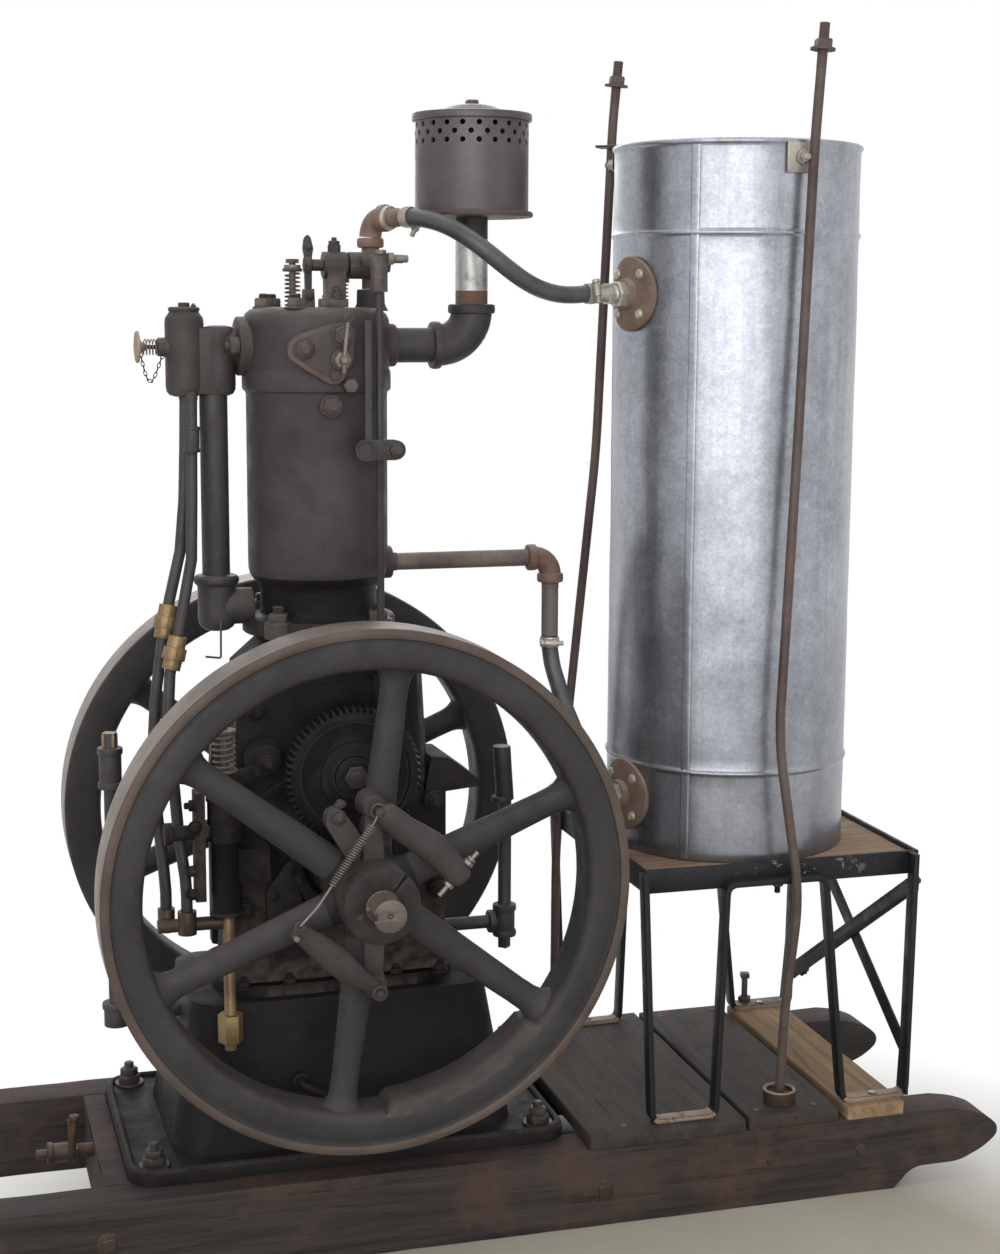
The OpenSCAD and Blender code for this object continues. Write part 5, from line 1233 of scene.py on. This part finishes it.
# ---------------------------------------------------------------- hold-down rods
TOP = TANK_FOOT + TANK_H
ROD_FEET = ((551, -163), (354, 162))
CUP_Z = -343.6
NEAR = [(571, -166, TOP + 113), (562, -168, TOP - 14), (547, -176, 500), (528, -185, 132),
    (556, -196, -64), (546, -184, -210), (*ROD_FEET[0], -341)]
FAR = [(408, 100, TOP + 92), (404, 104, TOP + 31), (394, 126, 468), (371, 165, 100), (356, 166, -80),
    (*ROD_FEET[1], -341)]
bm = bmesh.new()
for route in (NEAR, FAR):
    tube(bm, rounded(route, 46, 8), 6, 18)
    a, b = Vector(route[0]), Vector(route[1])
    d = (a - b).normalized()
    thread(bm, a - d * 34, d, 6.3, 52, 0, 1.9, 18)
    turned(bm, [(15, 0), (15, 2.6), (14, 3.2)], a - d * 14, d, 28)
    nut(bm, a - d * 10.6, d, 12.4, 10, 4, 0, 0.6)
for x, y in ROD_FEET:
    c = Vector((x, y, CUP_Z))
    lathe(bm, [(0, 0), (19.6, 0), (20.6, 2), (20.6, 15.4), (20.8, 17)], c, Z, 40, 1)
    lathe(bm, [(20.8, 17), (20.2, 18.6), (18.6, 19), (17.4, 18.4), (16.4, 17)], c, Z, 40, 2)
    lathe(bm, [(16.4, 17), (15.6, 13), (0, 13)], c, Z, 40, 1)
piece("tie_rods", bm, "frame", ["rod", "rust_low", "foot"], ["hold_down_rods"], bevel=0)

# ---------------------------------------------------------------- tank stand
dress("stand_tray", "tray", bevel=1.0)
dress("tray_board", "board", bevel=1.2)
bm = bmesh.new()


def strap(path, width, ymid, mat_of, thick=4.0):
    """A flat bar bent along a path in X and Z."""
    rows = []
    for i, (x, z) in enumerate(path):
        a, b = path[max(i - 1, 0)], path[min(i + 1, len(path) - 1)]
        t = Vector((b[0] - a[0], 0, b[1] - a[1])).normalized()
        facing = Vector((-t.z, 0, t.x))
        w, ym = width(z) / 2, ymid(z)
        rows.append([vert(bm, Vector((x, ym + sy * w, z)) + facing * sn * thick / 2)
            for sy, sn in ((-1, -1), (1, -1), (1, 1), (-1, 1))])
    for p, q, (_, z0), (_, z1) in zip(rows, rows[1:], path, path[1:]):
        skin(bm, [p, q], mat_of((z0 + z1) / 2))
    bm.faces.new(rows[0][::-1])
    bm.faces.new(rows[-1])


FOOT_Z, BAR_Z, STRAP_Y = -342.0, -46.0, 179.6
STRAP = [(357, 0, -25), (371, 0, FOOT_Z), (455, 0, FOOT_Z), (465, 0, BAR_Z), (597, 0, BAR_Z),
    (629, 0, FOOT_Z), (717, 0, FOOT_Z), (721, 0, -25)]
for s in (-1, 1):
    bent = [(v.x, v.z) for v in rounded(STRAP, 13, 7)]
    strap(bent, lambda z: 18, lambda z: s * STRAP_Y, lambda z: 1 if z < FOOT_Z + 5 else 0, 7)
    for x, r in ((412, 3.4), (673, 6)):
        lathe(bm, [(0, 0), (r, 0), (r * 0.94, 1.2), (r * 0.6, 2.4), (0, 2.8)],
            (x, s * STRAP_Y, FOOT_Z + 3.5), Z, 24, 2 if r > 4 else 1)
piece("stand_straps", bm, "frame", ["stand", "foot", "zinc"], ["stand_legs"], bevel=0.7, limit=40)
# the braces are the solids of stand_legs that are not flat straps
bm = cad_copy("stand_legs")
seen, drop = set(), []
for v in bm.verts:
    if v in seen:
        continue
    group, todo = [], [v]
    seen.add(v)
    while todo:
        w = todo.pop()
        group.append(w)
        for e in w.link_edges:
            o = e.other_vert(w)
            if o not in seen:
                seen.add(o)
                todo.append(o)
    ys = [w.co.y for w in group]
    if max(ys) - min(ys) < 0.2:
        drop += group
bmesh.ops.delete(bm, geom=drop, context="VERTS")
merge_flat(bm)
piece("stand_braces", bm, "frame", "stand", bevel=0.7)
bm = bmesh.new()
for x, z in ((733.6, -70), (724, -284)):
    for y in (-152, 152):
        bolt(bm, (x, y, z), X, 8, 6, 0.5, 3)
bolt(bm, (547, -150, -54.4), -Z, 7.4, 6, 0.55, 8, True, mat=1)
piece("stand_bolts", bm, "frame", ["stand", "bolt"], bevel=0.4, limit=40)

# ---------------------------------------------------------------- oil pipes and drain cock
dress("oil_pipes", "pipe", bevel=1.0, shift=lambda c: (4.7 if c.x > 205 and c.z < 33 else 0, 0,
    -6 if c.x > 60 and c.z < -60 else 0))
bm = bmesh.new()
for z in (-108, -142):
    bead(bm, (238.7, 20, z - 6), Z, 15.4, 9)
nut(bm, (238.7, 20, -168), Z, 8.4, 18, 4)
bead(bm, (220.7, 20, -132), X, 15, 9)
bead(bm, (234, 20, 31), Z, 13, 7)
for z, r in ((84, 15.4), (126, 15.4), (-193, 17)):
    bead(bm, (-264, 0, z), Z, r, 9)
bead(bm, (-252, 0, -205), X, 16, 9)
nut(bm, (-264, 0, 131), Z, 11, 17.6, 4, 1, 0.4)
piece("oil_pipe_beads", bm, "frame", ["pipe", "brass"], bevel=0)
dress("drain_cock", "rust_low", bevel=1.0)
bm = bmesh.new()
COCK_Z = -374.0
for x in (-322, -349):
    bead(bm, (x, -4, COCK_Z), X, 13.6, 8)
tube(bm, rounded([(-323.5, -17, COCK_Z), (-323.5, -19, COCK_Z + 20), (-320, -19, COCK_Z + 48)],
    8), 4.4, 14)
lathe(bm, [(0, 0), (6, 0), (7, 3), (6, 7), (0, 8)], (-320, -19, COCK_Z + 45), Z, 20)
piece("drain_handle", bm, "frame", "rust_low", bevel=0.5)

# ---------------------------------------------------------------- skid
TIP_X, DECK_Z = 0.6, -344.4


def is_tip(e):
    """Whether an edge runs across the worn nose of a rail."""
    p, q = (v.co for v in e.verts)
    return min(p.x, q.x) > TIP_X and abs(p.y - q.y) > 0.03 and e.calc_face_angle(0) > 0.2


def timber(node, mat, bevel, longest, amount, seed, nose=0):
    """A CAD timber with rounded edges and a weathered face. nose rounds the ends of a rail."""
    bm = cad_copy(node)
    merge_flat(bm)
    tips = [e for e in bm.edges if nose and is_tip(e)]
    bmesh.ops.bevel(bm, geom=tips, offset=nose * MM, segments=6, profile=0.5, affect="EDGES",
        clamp_overlap=True)
    es = [e for e in bm.edges if len(e.link_faces) == 2 and e.calc_face_angle(0) > radians(20)]
    bmesh.ops.bevel(bm, geom=es, offset=bevel * MM, segments=3, profile=0.5, affect="EDGES",
        clamp_overlap=True)
    bmesh.ops.triangulate(bm, faces=[f for f in bm.faces if len(f.verts) > 4])
    weather(bm, longest, amount, 14.0, seed)
    for v in bm.verts:
        v.co.x, v.co.z = min(max(v.co.x, cad_box[0][0]), cad_box[1][0]), max(v.co.z, cad_box[0][2])
    piece(node + "_wood", bm, "frame", mat, [node], sharp=40)


timber("skid_rail_near", "rail", 4, 40, 1.3, 3.0, nose=24)
timber("skid_rail_far", "rail", 4, 40, 1.3, 9.0, nose=24)
timber("cross_timbers", "rail", 3, 40, 1.0, 5.0)
timber("deck_planks", "plank", 2.6, 30, 0.9, 7.0)
timber("foot_strip", "strip", 2, 30, 0.5, 1.0)
bm = bmesh.new()
for x, z, r in ((303, -416, 10.6), (650, -405, 6.4), (524, -405, 4.2), (-298, -409, 11)):
    turned(bm, [(r * 1.3, -1), (r * 1.25, 0.6), (r * 1.1, 1.2)], (x, -200, z), -Y, 28)
    nut(bm, (x, -200.8, z), -Y, r, r * 0.5, 6 if r < 8 else 4, 0, 0.9)
for x, y in ((334, -182), (452, -182), (334, 176), (460, 182), (512, -180), (590, -182), (520, 178),
        (600, 184)):
    lathe(bm, [(0, 0), (4.6, 0), (4.2, 1.2), (2, 1.8), (0, 1.9)], (x, y, DECK_Z), Z, 16)
piece("skid_nuts", bm, "frame", "rust_low", bevel=0.4, limit=45)
bm = bmesh.new()
turned(bm, [(4.4, -344), (4.4, -300)], (656, 196, 0), Z, 16)
nut(bm, (656, 196, -338), Z, 10, 6, 4)
nut(bm, (656, 196, -304), Z, 9, 7, 4, 0, 0.5)
prism(bm, round_outline([(632, -341.6), (716, -341.6), (716, -338.4), (632, -338.4)], 1), 172, 198)
piece("tall_bolt", bm, "frame", "bolt", bevel=0.4, limit=45)
bm = bmesh.new()
hook = rounded([(-131.8, -30, 284), (-132.5, -30, 238.5), (-151, -30, 241)], 3)
tube(bm, hook, 1.3, 8)
piece("wire_hook", bm, "frame", "bolt")

# ---------------------------------------------------------------- floor, lights, background
def white_rays(tree):
    """1 for camera, mirror and see-through rays, which see the white background."""
    path = tree.nodes.new("ShaderNodeLightPath")
    got = path.outputs["Is Camera Ray"]
    for kind in ("Is Glossy Ray", "Is Transmission Ray"):
        either = tree.nodes.new("ShaderNodeMath")
        either.operation = "MAXIMUM"
        tree.links.new(got, either.inputs[0])
        tree.links.new(path.outputs[kind], either.inputs[1])
        got = either.outputs[0]
    return got


FLOOR_HALF, FLOOR_DEPTH, FLOOR_TOP, FLOOR_UNDER = 9000, 12000, -462.4, -474
bm = bmesh.new()
slab(bm, (-FLOOR_HALF, -FLOOR_DEPTH, FLOOR_UNDER), (FLOOR_HALF, FLOOR_DEPTH, FLOOR_TOP))
me = bpy.data.meshes.new("floor")
bm.to_mesh(me)
bm.free()
floor = bpy.data.objects.new("floor", me)
scene.collection.objects.link(floor)
fm = Mat("floor_pale")
fc = fm.mix(fm.ramp(fm.noise(3, 6), [(0.3, 0.0), (0.7, 1.0)]), srgb(186, 179, 162), srgb(202, 196, 181))
fm.bump(fm.noise(120, 4), 0.0004)
fm.done(fc, 0.8, 0.0, 0.2)
# seen by the camera and by mirror rays, the floor fades to the white background away from the object
cut = fm.node("VectorMath")
cut.operation = "DISTANCE"
cut.inputs[1].default_value = (0.1, -0.45, 0.0)
fm.link(fm.plain, cut.inputs[0])
far = fm.ramp(cut.outputs["Value"], [(0.55, 0.0), (1.0, 1.0)])
seen = white_rays(fm.t)
both = fm.node("Math")
both.operation = "MULTIPLY"
fm.link(seen, both.inputs[0])
fm.link(far, both.inputs[1])
fade = fm.node("MixShader")
for source, slot in ((both, 0), (fm.bsdf, 1), (fm.node("Emission"), 2)):
    fm.link(source.outputs[0], fade.inputs[slot])
fm.link(fade.outputs[0], fm.t.nodes["Material Output"].inputs["Surface"])
me.materials.append(fm.m)


def area(name, at, to, size, power):
    light = bpy.data.lights.new(name, "AREA")
    light.shape = "RECTANGLE"
    light.size, light.size_y = size
    light.energy = power
    ob = bpy.data.objects.new(name, light)
    scene.collection.objects.link(ob)
    ob.location = at
    ob.rotation_euler = (Vector(to) - Vector(at)).to_track_quat("-Z", "Y").to_euler()


area("key", (-1.1, -3.8, 1.75), (0.3, 0, 0.7), (3.8, 3.0), 100)
area("side", (-3.0, -1.8, 3.0), (0.1, 0, 0.6), (2.0, 2.0), 10)
area("fill", (2.6, -3.0, 2.2), (0.1, 0, 0.6), (2.4, 2.4), 10)
area("overhead", (0.2, 0.2, 4.4), (0.1, 0, 0.4), (4, 4), 54)
area("back", (0.6, 3.8, 2.6), (0.1, 0, 0.6), (3, 2.4), 44)

sky = bpy.data.worlds.new("studio")
scene.world = sky
sky.use_nodes = True
wt = sky.node_tree
wt.nodes.clear()
SOFT_COLOUR, SOFT_LIGHT = (0.96, 0.98, 1.0, 1), 0.24
mix = wt.nodes.new("ShaderNodeMixShader")
wt.links.new(white_rays(wt), mix.inputs[0])
for slot, colour, strength in ((1, SOFT_COLOUR, SOFT_LIGHT), (2, (1, 1, 1, 1), 1.0)):
    back = wt.nodes.new("ShaderNodeBackground")
    back.inputs["Color"].default_value, back.inputs["Strength"].default_value = colour, strength
    wt.links.new(back.outputs[0], mix.inputs[slot])
wt.links.new(mix.outputs[0], wt.nodes.new("ShaderNodeOutputWorld").inputs["Surface"])
scene.view_settings.view_transform = "Standard"
